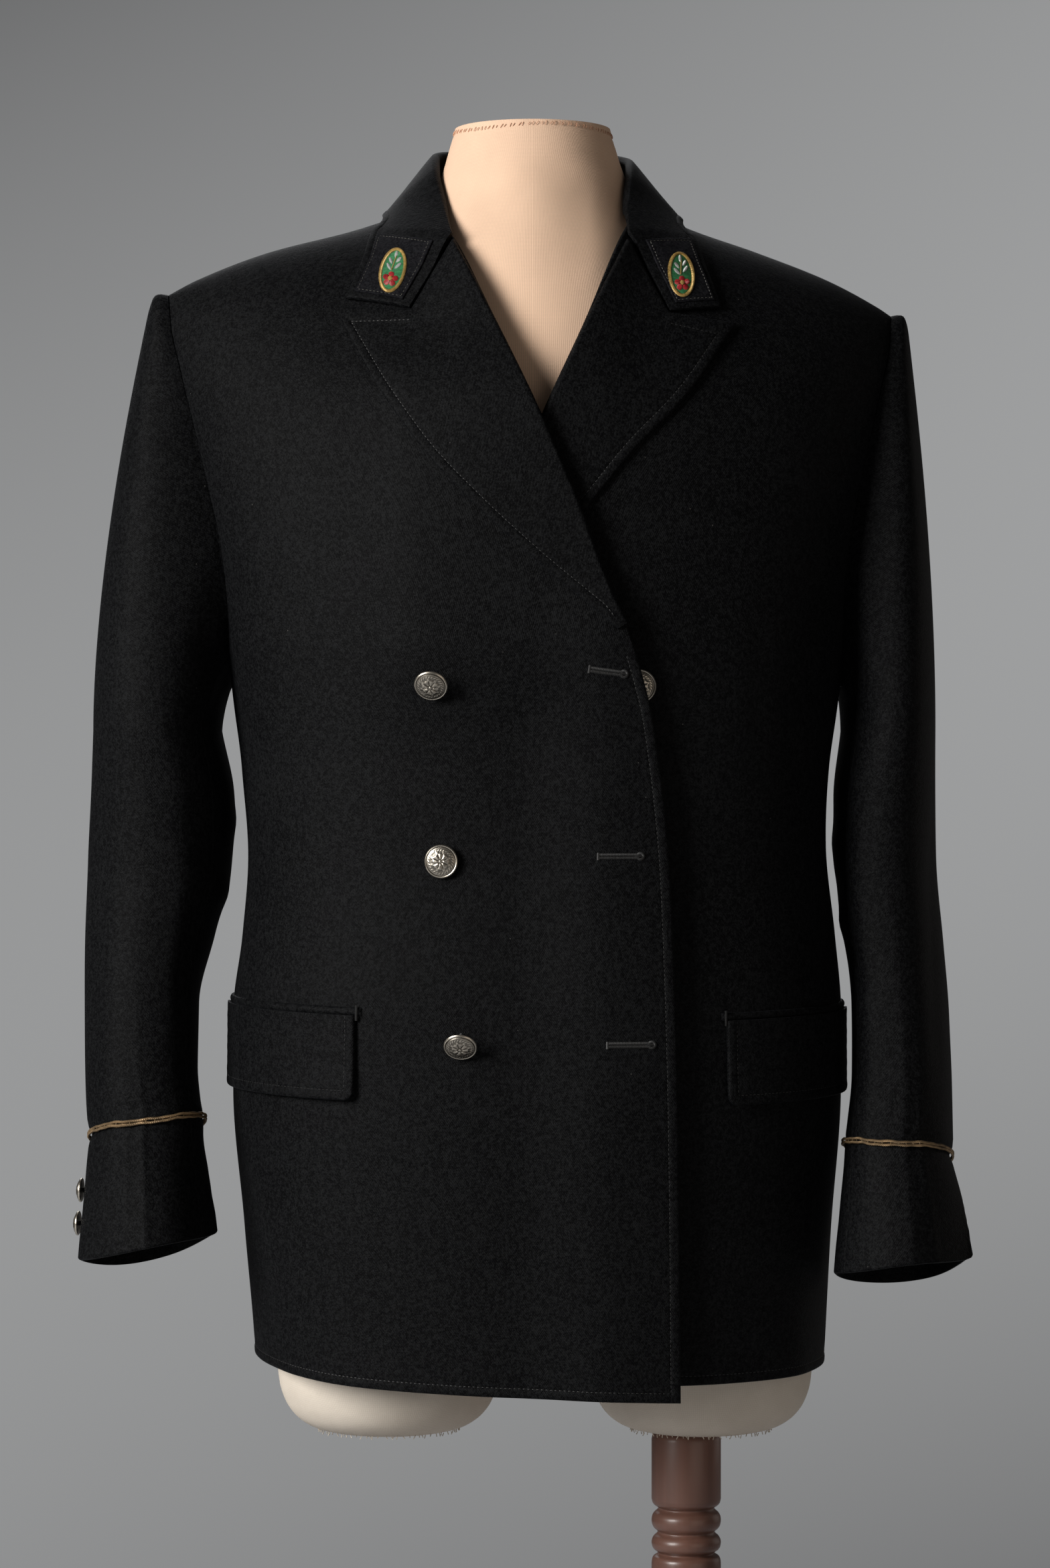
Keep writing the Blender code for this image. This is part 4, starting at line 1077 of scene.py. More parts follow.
def by_length(place, rows, first, last, middle):
    """Shares of each row with steps in millimetres at its ends, and the distances to both ends."""
    coarse = np.linspace(0, 1, 97)
    run = lengths_along(place(np.broadcast_to(coarse, (rows, 97))), 1)
    total = run[:, -1:]
    tight = np.minimum(1.0, 0.9 * total / (first[-1] + last[-1] + 1e-9))
    low, high = first * tight, total - (last * tight)[:, ::-1]
    share = np.linspace(0, 1, middle + 2)[1:-1]
    wanted = np.concatenate([low, mixed(low[:, -1:], high[:, :1], share), high], axis=1)
    found = np.stack([np.interp(wanted[k], run[k], coarse) for k in range(rows)])
    return found, wanted, total - wanted


def rolled(distance, size):
    """How far an edge turns under within a distance of it."""
    near = 1 - np.clip(distance / size, 0, 1)
    return size * (1 - np.sqrt(np.clip(1 - near * near, 0, 1)))


def sewn(distance, along):
    """The relief of a stitched edge: the groove that the thread pulls and the padded strip beside it."""
    stitch = EDGE_STEPS[STITCH_STEP]
    groove = STITCH_DEEP * np.exp(-(((distance - stitch) / 0.6) ** 2))
    pucker = 1 + 0.22 * np.sin(along * 0.9) + 0.16 * np.sin(along * 0.37 + 1.0)
    pad = 0.32 * pucker * np.sin(np.pi * np.clip(distance / stitch, 0, 1))
    beyond = 0.16 * np.exp(-(((distance - stitch - 2.2) / 1.6) ** 2))
    return pad - groove - beyond


class Threads:
    """Many short threads in one piece."""

    def __init__(self):
        self.points, self.faces, self.count = [], [], 0

    def lay(self, paths, outs, radii, sides=5, ring=False):
        """Tubes along an array of paths; outs point away from the cloth."""
        paths, outs = np.asarray(paths, float), np.asarray(outs, float)
        number, steps = paths.shape[:2]
        if ring:
            along = np.roll(paths, -1, axis=1) - np.roll(paths, 1, axis=1)
        else:
            along = np.gradient(paths, axis=1)
        along = along / np.maximum(np.linalg.norm(along, axis=-1, keepdims=True), 1e-9)
        aside = np.cross(along, outs)
        aside = aside / np.maximum(np.linalg.norm(aside, axis=-1, keepdims=True), 1e-9)
        up = np.cross(aside, along)
        turn = np.linspace(0, 2 * np.pi, sides, endpoint=False)
        radii = np.broadcast_to(radii, (number, steps, sides))[..., None]
        circle = np.cos(turn)[:, None] * aside[..., None, :] + np.sin(turn)[:, None] * up[..., None, :]
        points = paths[..., None, :] + radii * circle
        index = self.count + np.arange(number * steps * sides).reshape(number, steps, sides)
        ahead = np.roll(index, -1, axis=1) if ring else index[:, 1:]
        here = index if ring else index[:, :-1]
        beside, beside_ahead = np.roll(here, -1, axis=2), np.roll(ahead, -1, axis=2)
        quads = np.stack([here, ahead, beside_ahead, beside], axis=-1).reshape(-1, 4)
        self.faces += quads.tolist()
        if not ring:
            self.faces += index[:, 0].tolist()
            self.faces += index[:, -1, ::-1].tolist()
        self.points.append(points.reshape(-1, 3))
        self.count += number * steps * sides

    def stitch(self, path, out, pitch=STITCH_PITCH, long=STITCH_LONG, thick=STITCH_THICK, sink=0.05):
        """A row of stitches along a line of points."""
        run = lengths_along(path[None], 1)[0]
        centres = np.arange(pitch / 2, run[-1], pitch)
        if len(centres) == 0:
            return
        offsets = np.array([-0.5, -0.3, 0.3, 0.5]) * long
        at = centres[:, None] + offsets
        points = np.stack([np.interp(at, run, path[:, k]) for k in range(3)], axis=-1)
        outs = np.stack([np.interp(at, run, out[:, k]) for k in range(3)], axis=-1)
        outs = outs / np.linalg.norm(outs, axis=-1, keepdims=True)
        dip = np.array([-0.8, 0.25, 0.25, -0.8]) * thick - sink
        self.lay(points + outs * dip[:, None], outs, (thick * np.array([0.5, 1, 1, 0.5]))[:, None])

    def build(self, name, look, smooth_angle=60.0):
        points = np.concatenate(self.points)
        return add_mesh(name, points, self.faces, [look], None, None, smooth_angle)


def outward(outside, inside):
    """Directions from one grid of points to the other."""
    found = outside - inside
    return found / np.maximum(np.linalg.norm(found, axis=-1, keepdims=True), 1e-9)


def unrolled(angle):
    """Length round the body from the middle front to an angle."""
    turn = np.linspace(-200, 200, 401)
    ring = smooth_body(turn, np.full(401, 1000.0))
    run = lengths_along(ring[None], 1)[0]
    return np.interp(angle, turn, run - run[200])


def body_map(angle, level):
    above = np.maximum(level - ARMPIT, 0.0)
    return np.stack([unrolled(angle), level + 0.3 * above], axis=-1)


def side_sign(side):
    return -1.0 if side == "right" else 1.0


def front_grid(side):
    """Angles, levels and distances to the edges of a front's points."""
    sign = side_sign(side)
    rows = spaced(FRONT_LONG, EDGE_STEPS, PLAIN_STEPS, 78)
    rows = np.concatenate([rows[:-1], 1 + spaced(FRONT_TALL, PLAIN_STEPS, SEAM_STEPS, 56)])
    edge_x, edge_z = FRONT_EDGE(rows)
    if side == "left":
        edge_x = 2 * MEETING_X * (1 - smooth_step(1.5, 1.9, rows)) - edge_x
        edge_z = edge_z + (UNDER_HEM_FRONT - FRONT_EDGE(0.0)[1]) * (1 - smooth_step(0, 0.6, rows))
    edge_angle, edge_level = locate(edge_x, edge_z)
    armhole_level, armhole_angle, _ = ARMHOLE(np.clip(rows - 1, 0, 1))
    side_level = mixed(HEM_SIDE[side], ARMHOLE(0.0)[0], np.clip(rows, 0, 1))
    seam_level = np.where(rows < 1, side_level, armhole_level)
    seam_angle = sign * np.where(rows < 1, SIDE_SEAM, armhole_angle)
    top_angle, _ = locate(np.array(sign * NECK_POINT_X), RIDGE(sign * NECK_POINT_X))
    edge_angle[-1], edge_level[-1] = top_angle, SHOULDER
    seam_level[-1] = SHOULDER
    low = (1 - smooth_step(0.0, 0.5, rows))[:, None]

    def place(share):
        bent = mixed(share, share ** HEM_BEND[side], low)
        angle = mixed(seam_angle[:, None], edge_angle[:, None], share)
        level = mixed(seam_level[:, None], edge_level[:, None], bent)
        return angle, level - HEM_SAG[side] * np.sin(np.pi * share) * low

    share, from_seam, from_edge = by_length(
        lambda s: body(*place(s)), len(rows), SEAM_STEPS, EDGE_STEPS, 74
    )
    angle, level = place(share)
    return rows, angle, level, from_seam, from_edge


def line_distance(x, z, start, end):
    """Distance from points seen from the front to a line between two of them, and its share."""
    along = np.subtract(end, start)
    share = ((x - start[0]) * along[0] + (z - start[1]) * along[1]) / np.dot(along, along)
    held = np.clip(share, 0, 1)
    return np.hypot(x - start[0] - held * along[0], z - start[1] - held * along[1]), share


def front_panel(side, wool_look, thread_look):
    rows, angle, level, from_seam, from_edge = front_grid(side)
    from_hem = (rows * FRONT_LONG)[:, None] + 0 * angle
    from_top = ((2 - rows) * FRONT_TALL)[:, None] + 0 * angle
    middle = body(angle, level)
    x, z = middle[..., 0], middle[..., 2]
    lift = outer_lift(x, z) if side == "right" else np.zeros_like(x)
    across = normals(body, angle, level, (0, 0, 1000))
    below_break = (1 - smooth_step(0.97, 1.0, rows))[:, None]
    clear = EDGE_STEPS[STITCH_STEP] - 0.4
    relief = sewn(from_edge, z) * below_break * smooth_step(clear - 1, clear, from_hem)
    relief = relief + sewn(from_hem, x) * smooth_step(clear - 1, clear, from_edge)
    away, _ = line_distance(x, z, *DARTS[side])
    relief = relief - 0.55 * np.exp(-((away / 5.0) ** 2))
    turned_in = np.maximum(rolled(from_edge, EDGE_ROUND), rolled(from_hem, EDGE_ROUND))
    seam = np.maximum(rolled(from_seam, SEAM_ROUND), rolled(from_top, SEAM_ROUND))
    relief = np.maximum(relief - np.maximum(turned_in, seam), 0.3 - WALL)
    outside = middle + across * (lift + relief)[..., None]
    inside = middle + across * (lift - WALL)[..., None]
    name = f"front_{side}"
    piece = shell(f"{name}_cloth", outside, inside, wool_look, body_map(angle, level))
    wear(piece, "wool_twill", name)
    out = outward(outside, inside)
    threads = Threads()
    stitched = rows < 1.0
    stitched[: STITCH_STEP] = False
    column = -1 - STITCH_STEP
    threads.stitch(outside[stitched, column], out[stitched, column])
    threads.stitch(outside[STITCH_STEP, : -1 - STITCH_STEP], out[STITCH_STEP, : -1 - STITCH_STEP])
    wear(threads.build(f"stitching_front_{side}", thread_look), "wool_twill")
    return piece, outside


def back_panel(side, wool_look, thread_look):
    sign = side_sign(side)
    rows = spaced(BACK_LONG, EDGE_STEPS, PLAIN_STEPS, 60)
    rows = np.concatenate([rows[:-1], 1 + spaced(BACK_TALL, PLAIN_STEPS, SEAM_STEPS, 50)])
    armhole_level, _, armhole_angle = ARMHOLE(np.clip(rows - 1, 0, 1))
    side_level = mixed(HEM_SIDE[side], ARMHOLE(0.0)[0], np.clip(rows, 0, 1))
    seam_level = np.where(rows < 1, side_level, armhole_level)
    seam_angle = np.where(rows < 1, SIDE_SEAM, armhole_angle)
    rise = np.clip(rows - 1, 0, 1)
    middle_level = mixed(HEM_BACK, ARMHOLE(0.0)[0], np.clip(rows, 0, 1))
    middle_level = middle_level + rise * (neckline_level(180.0) - middle_level[-1])

    def place(share):
        angle = mixed(seam_angle[:, None], 180.0, share)
        level = mixed(seam_level[:, None], middle_level[:, None], share)
        top = np.minimum(SHOULDER, neckline_level(sign * angle))
        pull = rise[:, None] ** 2 * share
        pull[-1] = 1.0
        return sign * angle, mixed(level, top, pull)

    share, from_seam, from_middle = by_length(
        lambda s: body(*place(s)), len(rows), SEAM_STEPS, SEAM_STEPS, 52
    )
    angle, level = place(share)
    middle = body(angle, level)
    across = normals(body, angle, level, (0, 0, 1000))
    from_hem = (rows * BACK_LONG)[:, None] + 0 * angle
    from_top = ((2 - rows) * BACK_TALL)[:, None] + 0 * angle
    seams = np.maximum(rolled(from_seam, SEAM_ROUND), rolled(from_middle, SEAM_ROUND))
    seams = np.maximum(seams, rolled(from_top, SEAM_ROUND))
    pressed = 0.18 * np.exp(-(((from_middle - 5.0) / 2.5) ** 2))
    relief = sewn(from_hem, middle[..., 0]) + pressed
    relief = relief - np.maximum(seams, rolled(from_hem, EDGE_ROUND))
    relief = np.maximum(relief, 0.3 - WALL)
    outside = middle + across * relief[..., None]
    inside = middle - across * WALL
    name = f"back_{side}"
    piece = shell(f"{name}_cloth", outside, inside, wool_look, body_map(angle, level))
    wear(piece, "wool_twill", name)
    threads = Threads()
    threads.stitch(outside[STITCH_STEP], outward(outside, inside)[STITCH_STEP])
    wear(threads.build(f"stitching_back_{side}", thread_look), "wool_twill")
    return piece, outside


def lapel(side, wool_look, thread_look):
    table, notch = (RIGHT_LAPEL, RIGHT_NOTCH) if side == "right" else (LEFT_LAPEL, LEFT_NOTCH)
    surface = lapel_surface(table, notch)
    up = spaced(LAPEL_LONG, np.array([0.0, 0.5, 1.2, 2.5]), EDGE_STEPS, 84)

    def place(share):
        return np.broadcast_to(share, (len(up), np.shape(share)[1])), up[:, None] + 0 * share

    start = np.array([FOLD_ROUND, FOLD_ROUND + 0.8, FOLD_ROUND + 2.0])
    share, from_roll, from_edge = by_length(
        lambda s: surface(*place(s)), len(up), start, EDGE_STEPS, 44
    )
    across_share, rise = place(share)
    middle = surface(across_share, rise)
    x, z = middle[..., 0], middle[..., 2]
    under = outer_lift(x, z) if side == "right" else 0.0
    roll = LAPEL_ROLL * (1 - across_share) ** 2 * np.sin(np.pi * np.clip(rise * 0.9 + 0.1, 0, 1))
    roll = roll + LAPEL_TOP_RISE * smooth_step(0.72, 1.0, rise)
    seat = (LAPEL_GAP - 0.9) * smooth_step(0.0, 0.14, rise) + 0.15
    inner = under + seat + roll
    from_top = ((1 - rise) * LAPEL_LONG) * mixed(0.55, 1.0, smooth_step(0.3, 0.9, across_share))
    clear = EDGE_STEPS[STITCH_STEP] - 0.4
    relief = sewn(from_edge, z) * smooth_step(clear - 1, clear, from_top)
    beside_notch = smooth_step(NOTCH_SHARE - 0.02, NOTCH_SHARE + 0.05, across_share)
    relief = relief + sewn(from_top, x) * smooth_step(clear - 1, clear, from_edge) * beside_notch
    turned_in = np.maximum(rolled(from_edge, EDGE_ROUND), rolled(from_top, EDGE_ROUND))
    relief = np.maximum(relief - turned_in, 0.5 - FOLDED_WALL)
    normal = normals(surface, across_share, rise, (0, 0, 1000))
    outside = middle + normal * (inner + FOLDED_WALL + relief)[..., None]
    inside = middle + normal * inner[..., None]
    toward = surface(0 * across_share[:, :1], rise[:, :1]) - surface(0 * across_share[:, :1] + 0.05, rise[:, :1])
    toward = toward / np.linalg.norm(toward, axis=-1, keepdims=True)
    under_face = inside[:, :1] - normal[:, :1] * (seat[:, :1] + WALL)[..., None]
    turn = np.linspace(np.pi, 0, 12)[:-1][None, :, None]
    centre, half = (outside[:, :1] + under_face) / 2, (outside[:, :1] - under_face) / 2
    fold_out = centre + half * np.cos(turn) + toward * FOLD_ROUND * np.sin(turn)
    tight = 1 - 0.75 * FOLDED_WALL / np.linalg.norm(half, axis=-1, keepdims=True).clip(FOLDED_WALL, None)
    fold_in = centre + half * tight * np.cos(turn) + toward * 0.4 * np.sin(turn)
    outside = np.concatenate([fold_out, outside], axis=1)
    inside = np.concatenate([fold_in, inside], axis=1)
    slant = np.radians(LAPEL_GRAIN[side])
    flat = np.stack([
        outside[..., 0] * np.cos(slant) + outside[..., 2] * np.sin(slant),
        outside[..., 2] * np.cos(slant) - outside[..., 0] * np.sin(slant),
    ], axis=-1)
    name = f"lapel_{side}"
    piece = shell(f"{name}_cloth", outside, inside, wool_look, flat)
    wear(piece, "wool_twill", name)
    threads = Threads()
    out = outward(outside, inside)
    column, row = -1 - STITCH_STEP, -1 - STITCH_STEP
    threads.stitch(outside[6:row, column], out[6:row, column])
    top = np.arange(outside.shape[1])[fold_out.shape[1] :]
    top = top[(across_share[-1] > NOTCH_SHARE + 0.04)][:column]
    threads.stitch(outside[row, top], out[row, top])
    wear(threads.build(f"stitching_lapel_{side}", thread_look), "wool_twill")
    return piece, outside


def collar(wool_look, thread_look):
    """The fall, the crease it turns over and the stand inside it, in one folded piece."""
    def middle_line(share):
        return collar_surface(share * 16.0, np.full_like(share, 0.5))

    share, from_start, from_end = by_length(middle_line, 1, EDGE_STEPS, EDGE_STEPS, 190)
    station = share[0] * 16.0
    ends = np.minimum(from_start, from_end)[0]
    count = len(station)

    def place(rise):
        return np.broadcast_to(station[:, None], np.shape(rise)), rise

    rise, from_edge, _ = by_length(
        lambda s: collar_surface(*place(s)), count, EDGE_STEPS, PLAIN_STEPS, 24
    )
    at, rise = place(rise)
    middle = collar_surface(at, rise)
    normal = normals(collar_surface, at, rise, (0, 0, 1400))
    from_tip = ends[:, None] + 0 * rise
    along = lengths_along(middle, 0)
    clear = EDGE_STEPS[STITCH_STEP] - 0.4
    relief = sewn(from_edge, along) * smooth_step(clear - 1, clear, from_tip)
    relief = relief - np.maximum(rolled(from_edge, EDGE_ROUND), rolled(from_tip, EDGE_ROUND))
    relief = np.maximum(relief, 0.4 - FOLDED_WALL)
    outside = middle + normal * relief[..., None]
    inside = middle - normal * FOLDED_WALL
    free = smooth_step(2.0, 3.3, station) * (1 - smooth_step(12.7, 14.0, station))
    free = free[:, None, None]
    top, under_top = outside[:, -1:], inside[:, -1:]
    out = out_and_up(middle[:, -1:], 0.0)
    reach = np.clip(station, 3.0, 13.0)
    down = np.linspace(1, 0, 12)[None, :]
    stand = stand_surface(np.broadcast_to(reach[:, None], (count, 12)), np.broadcast_to(down, (count, 12)))
    stand_out = out_and_up(stand, 0.0)
    near, far = stand - stand_out * WALL, stand
    turn = np.linspace(0, np.pi, 10)[1:-1][None, :, None]
    lean = np.array((0.0, 0.0, 0.75)) - out * 0.66
    fold_out = (top + near[:, :1]) / 2 + (top - near[:, :1]) / 2 * np.cos(turn) + lean * 2.1 * np.sin(turn)
    fold_in = (under_top + far[:, :1]) / 2 + (under_top - far[:, :1]) / 2 * np.cos(turn)
    fold_in = fold_in + lean * 0.3 * np.sin(turn)
    tuck = np.linspace(0, 1, 20)[None, :, None]
    closed_out = mixed(top, under_top + (top - under_top) * 0.25, tuck**0.5)
    closed_out = closed_out - out * 0.7 * np.sin(np.pi * tuck**0.5 / 2)
    closed_in = under_top + (top - under_top) * 0.1 * tuck - out * 0.02 * tuck
    full_out = np.concatenate([fold_out, near], axis=1)
    full_in = np.concatenate([fold_in, far], axis=1)
    outside = np.concatenate([outside, mixed(closed_out, full_out, free)], axis=1)
    inside = np.concatenate([inside, mixed(closed_in, full_in, free)], axis=1)
    across = lengths_along(outside, 1)
    run = lengths_along(middle[:, 12:13], 0)
    cloth_map = np.stack([run + 0 * across, across], axis=-1)
    piece = shell("collar_cloth", outside, inside, wool_look, cloth_map)
    wear(piece, "wool_twill", "collar", "collar_stand")
    threads = Threads()
    out = outward(outside, inside)
    kept = slice(STITCH_STEP, count - STITCH_STEP)
    threads.stitch(outside[kept, STITCH_STEP], out[kept, STITCH_STEP])
    wear(threads.build("stitching_collar", thread_look), "wool_twill")
    return piece, outside

def sleeve(side, wool_look):
    """Both parts of a sleeve, with the back seam raised on the upper part."""
    surface = folded_sleeve(side)
    smooth = pressed_sleeve(side)
    length = sleeve_table(side).rows[-1, 0]
    braid = BRAID_DOWN[side]
    cap = spaced(1.0, SEAM_STEPS / SLEEVE_RUN, PLAIN_STEPS, 52)
    near_braid = braid + np.arange(-6.0, BRAID_LEVEL + 6.5, 1.5)
    edge = EDGE_STEPS[[0, 1, 2, 3, 4, 5, 6]]
    downs = np.concatenate([
        np.linspace(0, near_braid[0], 58)[1:-1], near_braid,
        np.linspace(near_braid[-1], length - edge[-1], 22)[1:-1], length - edge[::-1],
    ])
    runs = np.concatenate([cap, 1 + downs / length])
    pieces = {}
    parts = (("upper", BACK_SEAM, FRONT_SEAM, 72), ("under", FRONT_SEAM, 360 + BACK_SEAM, 52))
    for part, first, last, columns in parts:
        def place(share):
            return mixed(first, last, share), runs[:, None] + 0 * share

        share, from_first, from_last = by_length(
            lambda s: surface(*place(s)), len(runs), SEAM_STEPS, SEAM_STEPS, columns
        )
        angle, run = place(share)
        middle = surface(angle, run)
        across = normals(smooth, angle, run, sleeve_axis(smooth, run))
        down = (run - 1) * length
        from_cuff = length - down
        from_cap = run * SLEEVE_RUN
        seam = np.maximum(rolled(from_first, SEAM_ROUND), rolled(from_last, SEAM_ROUND))
        ends = np.maximum(rolled(from_cuff, EDGE_ROUND), rolled(np.maximum(from_cap, 0), SEAM_ROUND))
        pressed = np.exp(-(((np.minimum(from_first, from_last) - 5.0) / 2.6) ** 2)) * 0.16
        held_in = -0.75 * np.exp(-(((down - braid_down(side, angle)) / 3.4) ** 2))
        ease = 0.22 * np.sin(np.radians(angle) * 19) * np.exp(-(((from_cap - 14) / 12) ** 2))
        hem = 0.22 * np.sin(np.pi * np.clip((from_cuff - 2) / 26, 0, 1))
        relief = pressed + held_in + ease + hem - np.maximum(seam, ends)
        relief = np.maximum(relief, 0.3 - WALL)
        outside = middle + across * relief[..., None]
        inside = middle - across * (WALL + np.where(held_in < -0.05, -held_in, 0))[..., None]
        name = f"sleeve_{side}_{part}"
        along = lengths_along(middle, 0)
        centre = middle.shape[1] // 2
        cloth_map = np.stack([from_first - from_first[:, centre : centre + 1], -along[:, centre : centre + 1] + 0 * along], axis=-1)
        piece = shell(f"{name}_cloth", outside, inside, wool_look, cloth_map)
        wear(piece, "wool_twill", name)
        pieces[part] = (piece, outside)
    return pieces


def braid_down(side, angle):
    """How far down the sleeve its braid lies, lower on the front so that it is seen level."""
    return BRAID_DOWN[side] + BRAID_LEVEL * np.clip(np.sin(np.radians(angle)), 0, 1) ** 1.4


def twisted(path, out, radius, cords, pitch, spread, start=0.0):
    """Paths of cords twisted round a closed line, and the directions out of it at each point."""
    run = lengths_along(np.concatenate([path, path[:1]])[None], 1)[0]
    turns = max(1, round(run[-1] / pitch))
    phase = 2 * np.pi * turns * run[:-1] / run[-1] + start
    ahead = np.roll(path, -1, axis=0) - np.roll(path, 1, axis=0)
    ahead = ahead / np.linalg.norm(ahead, axis=-1, keepdims=True)
    aside = np.cross(ahead, out)
    paths = []
    for cord in range(cords):
        turn = phase + 2 * np.pi * cord / cords
        paths.append(path + spread * (np.cos(turn)[:, None] * aside + np.sin(turn)[:, None] * out))
    return np.stack(paths), np.broadcast_to(out, (cords, *path.shape))


def braid(side, gilt_look, thread_look):
    """Two twisted cords side by side round the cuff, wavy, and the threads that hold them down."""
    surface = folded_sleeve(side)
    smooth = pressed_sleeve(side)
    length = sleeve_table(side).rows[-1, 0]
    steps = 560
    angle = np.linspace(0, 360, steps, endpoint=False)
    cords, holds = Threads(), Threads()
    middles = []
    for row, offset in enumerate((-1.0, 1.0)):
        turn = np.radians(angle)
        wave = 0.2 * np.sin(11 * turn + row) + 0.14 * np.sin(23 * turn + 2 * row) + 0.3 * np.sin(5 * turn)
        run = 1 + (braid_down(side, angle) + offset + wave) / length
        middle = surface(angle, run)
        across = out_of(smooth, angle, run, (0.5, 0.003), sleeve_axis(smooth, run))
        ring = middle + across * (0.55 + BRAID_RADIUS)
        middles.append(ring)
        paths, outs = twisted(ring, across, BRAID_RADIUS, 3, 3.6, 0.46, row * 0.8)
        cords.lay(paths, outs, 0.5, 5, ring=True)
    for k in range(6, steps, 11):
        low, high = middles[0][k], middles[1][k]
        out = across[k]
        share = np.linspace(-0.35, 1.35, 9)[:, None]
        arch = mixed(low, high, share) + out * (1.42 * np.sin(np.pi * np.linspace(0, 1, 9)) ** 0.4 - 0.9)[:, None]
        holds.lay(arch[None], np.broadcast_to(out, arch.shape)[None], 0.16)
    name = f"cuff_braid_{side}"
    wear(cords.build(f"{name}_cords", gilt_look), "braid_cord", name)
    wear(holds.build(f"couching_{side}", thread_look), "braid_cord")


def pocket(side, wool_look, thread_look):
    """A flap with its rounded front corner, the piped welt above it and its bar tack."""
    sign = side_sign(side)
    front_top, back_top = FLAP_TOP[side]
    front, back = FLAP_FRONT[side], FLAP_BACK

    def surface(angle, level):
        return body(sign * angle, level)

    down = spaced(FLAP_DEEP, PLAIN_STEPS, EDGE_STEPS, 22)

    def place(share):
        angle = mixed(front, back, share)
        return angle, mixed(front_top, back_top, share) - FLAP_DEEP * down[:, None]

    share, from_front, from_back = by_length(
        lambda s: surface(*place(s)), len(down), EDGE_STEPS, EDGE_STEPS, 64
    )
    angle, level = place(share)
    from_bottom = FLAP_DEEP * (1 - down)[:, None] + 0 * angle
    corner = FLAP_CORNER
    dx, dz = np.clip(corner - from_front, 0, None), np.clip(corner - from_bottom, 0, None)
    both = (dx > 0) & (dz > 0)
    round_off = np.where(both, np.maximum(dx, dz) / np.maximum(np.hypot(dx, dz), 1e-6), 1.0)
    level = level + np.where(both, dz * (1 - round_off) * -1.0, 0.0) * -1.0
    angle = angle + np.where(both, dx * (1 - round_off) * 0.31, 0.0)
    inward = np.where(both, corner - np.maximum(dx, dz), np.minimum(from_front, from_bottom))
    from_edge = np.minimum(inward, from_back)
    middle = surface(angle, level)
    x, z = middle[..., 0], middle[..., 2]
    under = outer_lift(x, z) if side == "right" else np.zeros_like(x)
    across = normals(surface, angle, level, (0, 0, 900))
    curl = 0.9 * smooth_step(0.5, 1.0, share) * down[:, None] + 0.5 * np.sin(share * 7 + 0.5) * down[:, None]
    held = 1 - 0.9 * smooth_step(0.45, 1.0, share)
    inner = under + LAID_GAP + (FLAP_STAND_OFF * down[:, None] ** 2 + FLAP_CURL[side] * curl) * held
    relief = sewn(from_edge, x + z) - rolled(from_edge, EDGE_ROUND)
    relief = np.maximum(relief, 0.5 - FOLDED_WALL)
    outside = middle + across * (inner + FOLDED_WALL + relief)[..., None]
    inside = middle + across * inner[..., None]
    name = f"pocket_flap_{side}"
    piece = shell(f"{name}_cloth", outside, inside, wool_look, body_map(sign * angle, level))
    wear(piece, "wool_twill", name)
    out = outward(outside, inside)
    threads = Threads()
    line = np.concatenate([outside[:-1 - STITCH_STEP, STITCH_STEP], outside[-1 - STITCH_STEP, STITCH_STEP:-1 - STITCH_STEP]])
    line_out = np.concatenate([out[:-1 - STITCH_STEP, STITCH_STEP], out[-1 - STITCH_STEP, STITCH_STEP:-1 - STITCH_STEP]])
    threads.stitch(line, line_out)

    # The welt is a padded strip whose round outer face is thickest along its middle
    up = np.linspace(0, 1, 14)[:, None]
    ends = np.linspace(0, 1, 90)[None, :]
    angle = mixed(front - 1.2, back + 1.0, ends) + 0 * up
    level = mixed(front_top, back_top, ends) - 0.4 + WELT_HIGH * up
    middle = surface(angle, level)
    under = outer_lift(middle[..., 0], middle[..., 2]) if side == "right" else np.zeros_like(angle)
    across = normals(surface, angle, level, (0, 0, 900))
    near_end = smooth_step(0.0, 0.012, ends) * smooth_step(0.0, 0.012, 1 - ends)
    pipe = np.sin(np.pi * up) ** 0.55 * (1.7 + 0.12 * np.sin(ends * 60)) * near_end
    welt_outside = middle + across * (under + LAID_GAP * 0.3 + 0.3 + pipe)[..., None]
    welt_inside = middle + across * (under + LAID_GAP * 0.3)[..., None]
    piece_welt = shell(f"pocket_welt_{side}_cloth", welt_outside, welt_inside, wool_look, body_map(sign * angle, level) + (3.0, 7.0))
    wear(piece_welt, "wool_twill", f"pocket_welt_{side}")
    corner_angle, corner_level = np.full(9, front - 0.3), np.linspace(front_top + 6.2, front_top - 3.4, 9)
    spot = surface(corner_angle, corner_level)
    lift = outer_lift(spot[..., 0], spot[..., 2]) if side == "right" else 0.0
    normal = across[0, 0]
    base_line = spot + normal * (np.asarray(lift) + 2.2).reshape(-1, 1) if side == "right" else spot + normal * 2.2
    bar(threads, base_line, normal, 1.5)
    wear(threads.build(f"stitching_pocket_{side}", thread_look), "wool_twill")
    return piece, outside


def bar(threads, line, normal, wide):
    """A bar tack: close short threads across a line of points."""
    run = lengths_along(line[None], 1)[0]
    ahead = line[-1] - line[0]
    ahead = ahead / np.linalg.norm(ahead)
    aside = np.cross(ahead, normal)
    for at in np.arange(0, run[-1], 0.42):
        middle = np.array([np.interp(at, run, line[:, k]) for k in range(3)])
        share = np.linspace(-1, 1, 7)[:, None]
        path = middle + aside * share * wide / 2 + normal * 0.45 * (1 - share**2)
        threads.lay(path[None], np.broadcast_to(normal, path.shape)[None], 0.24)


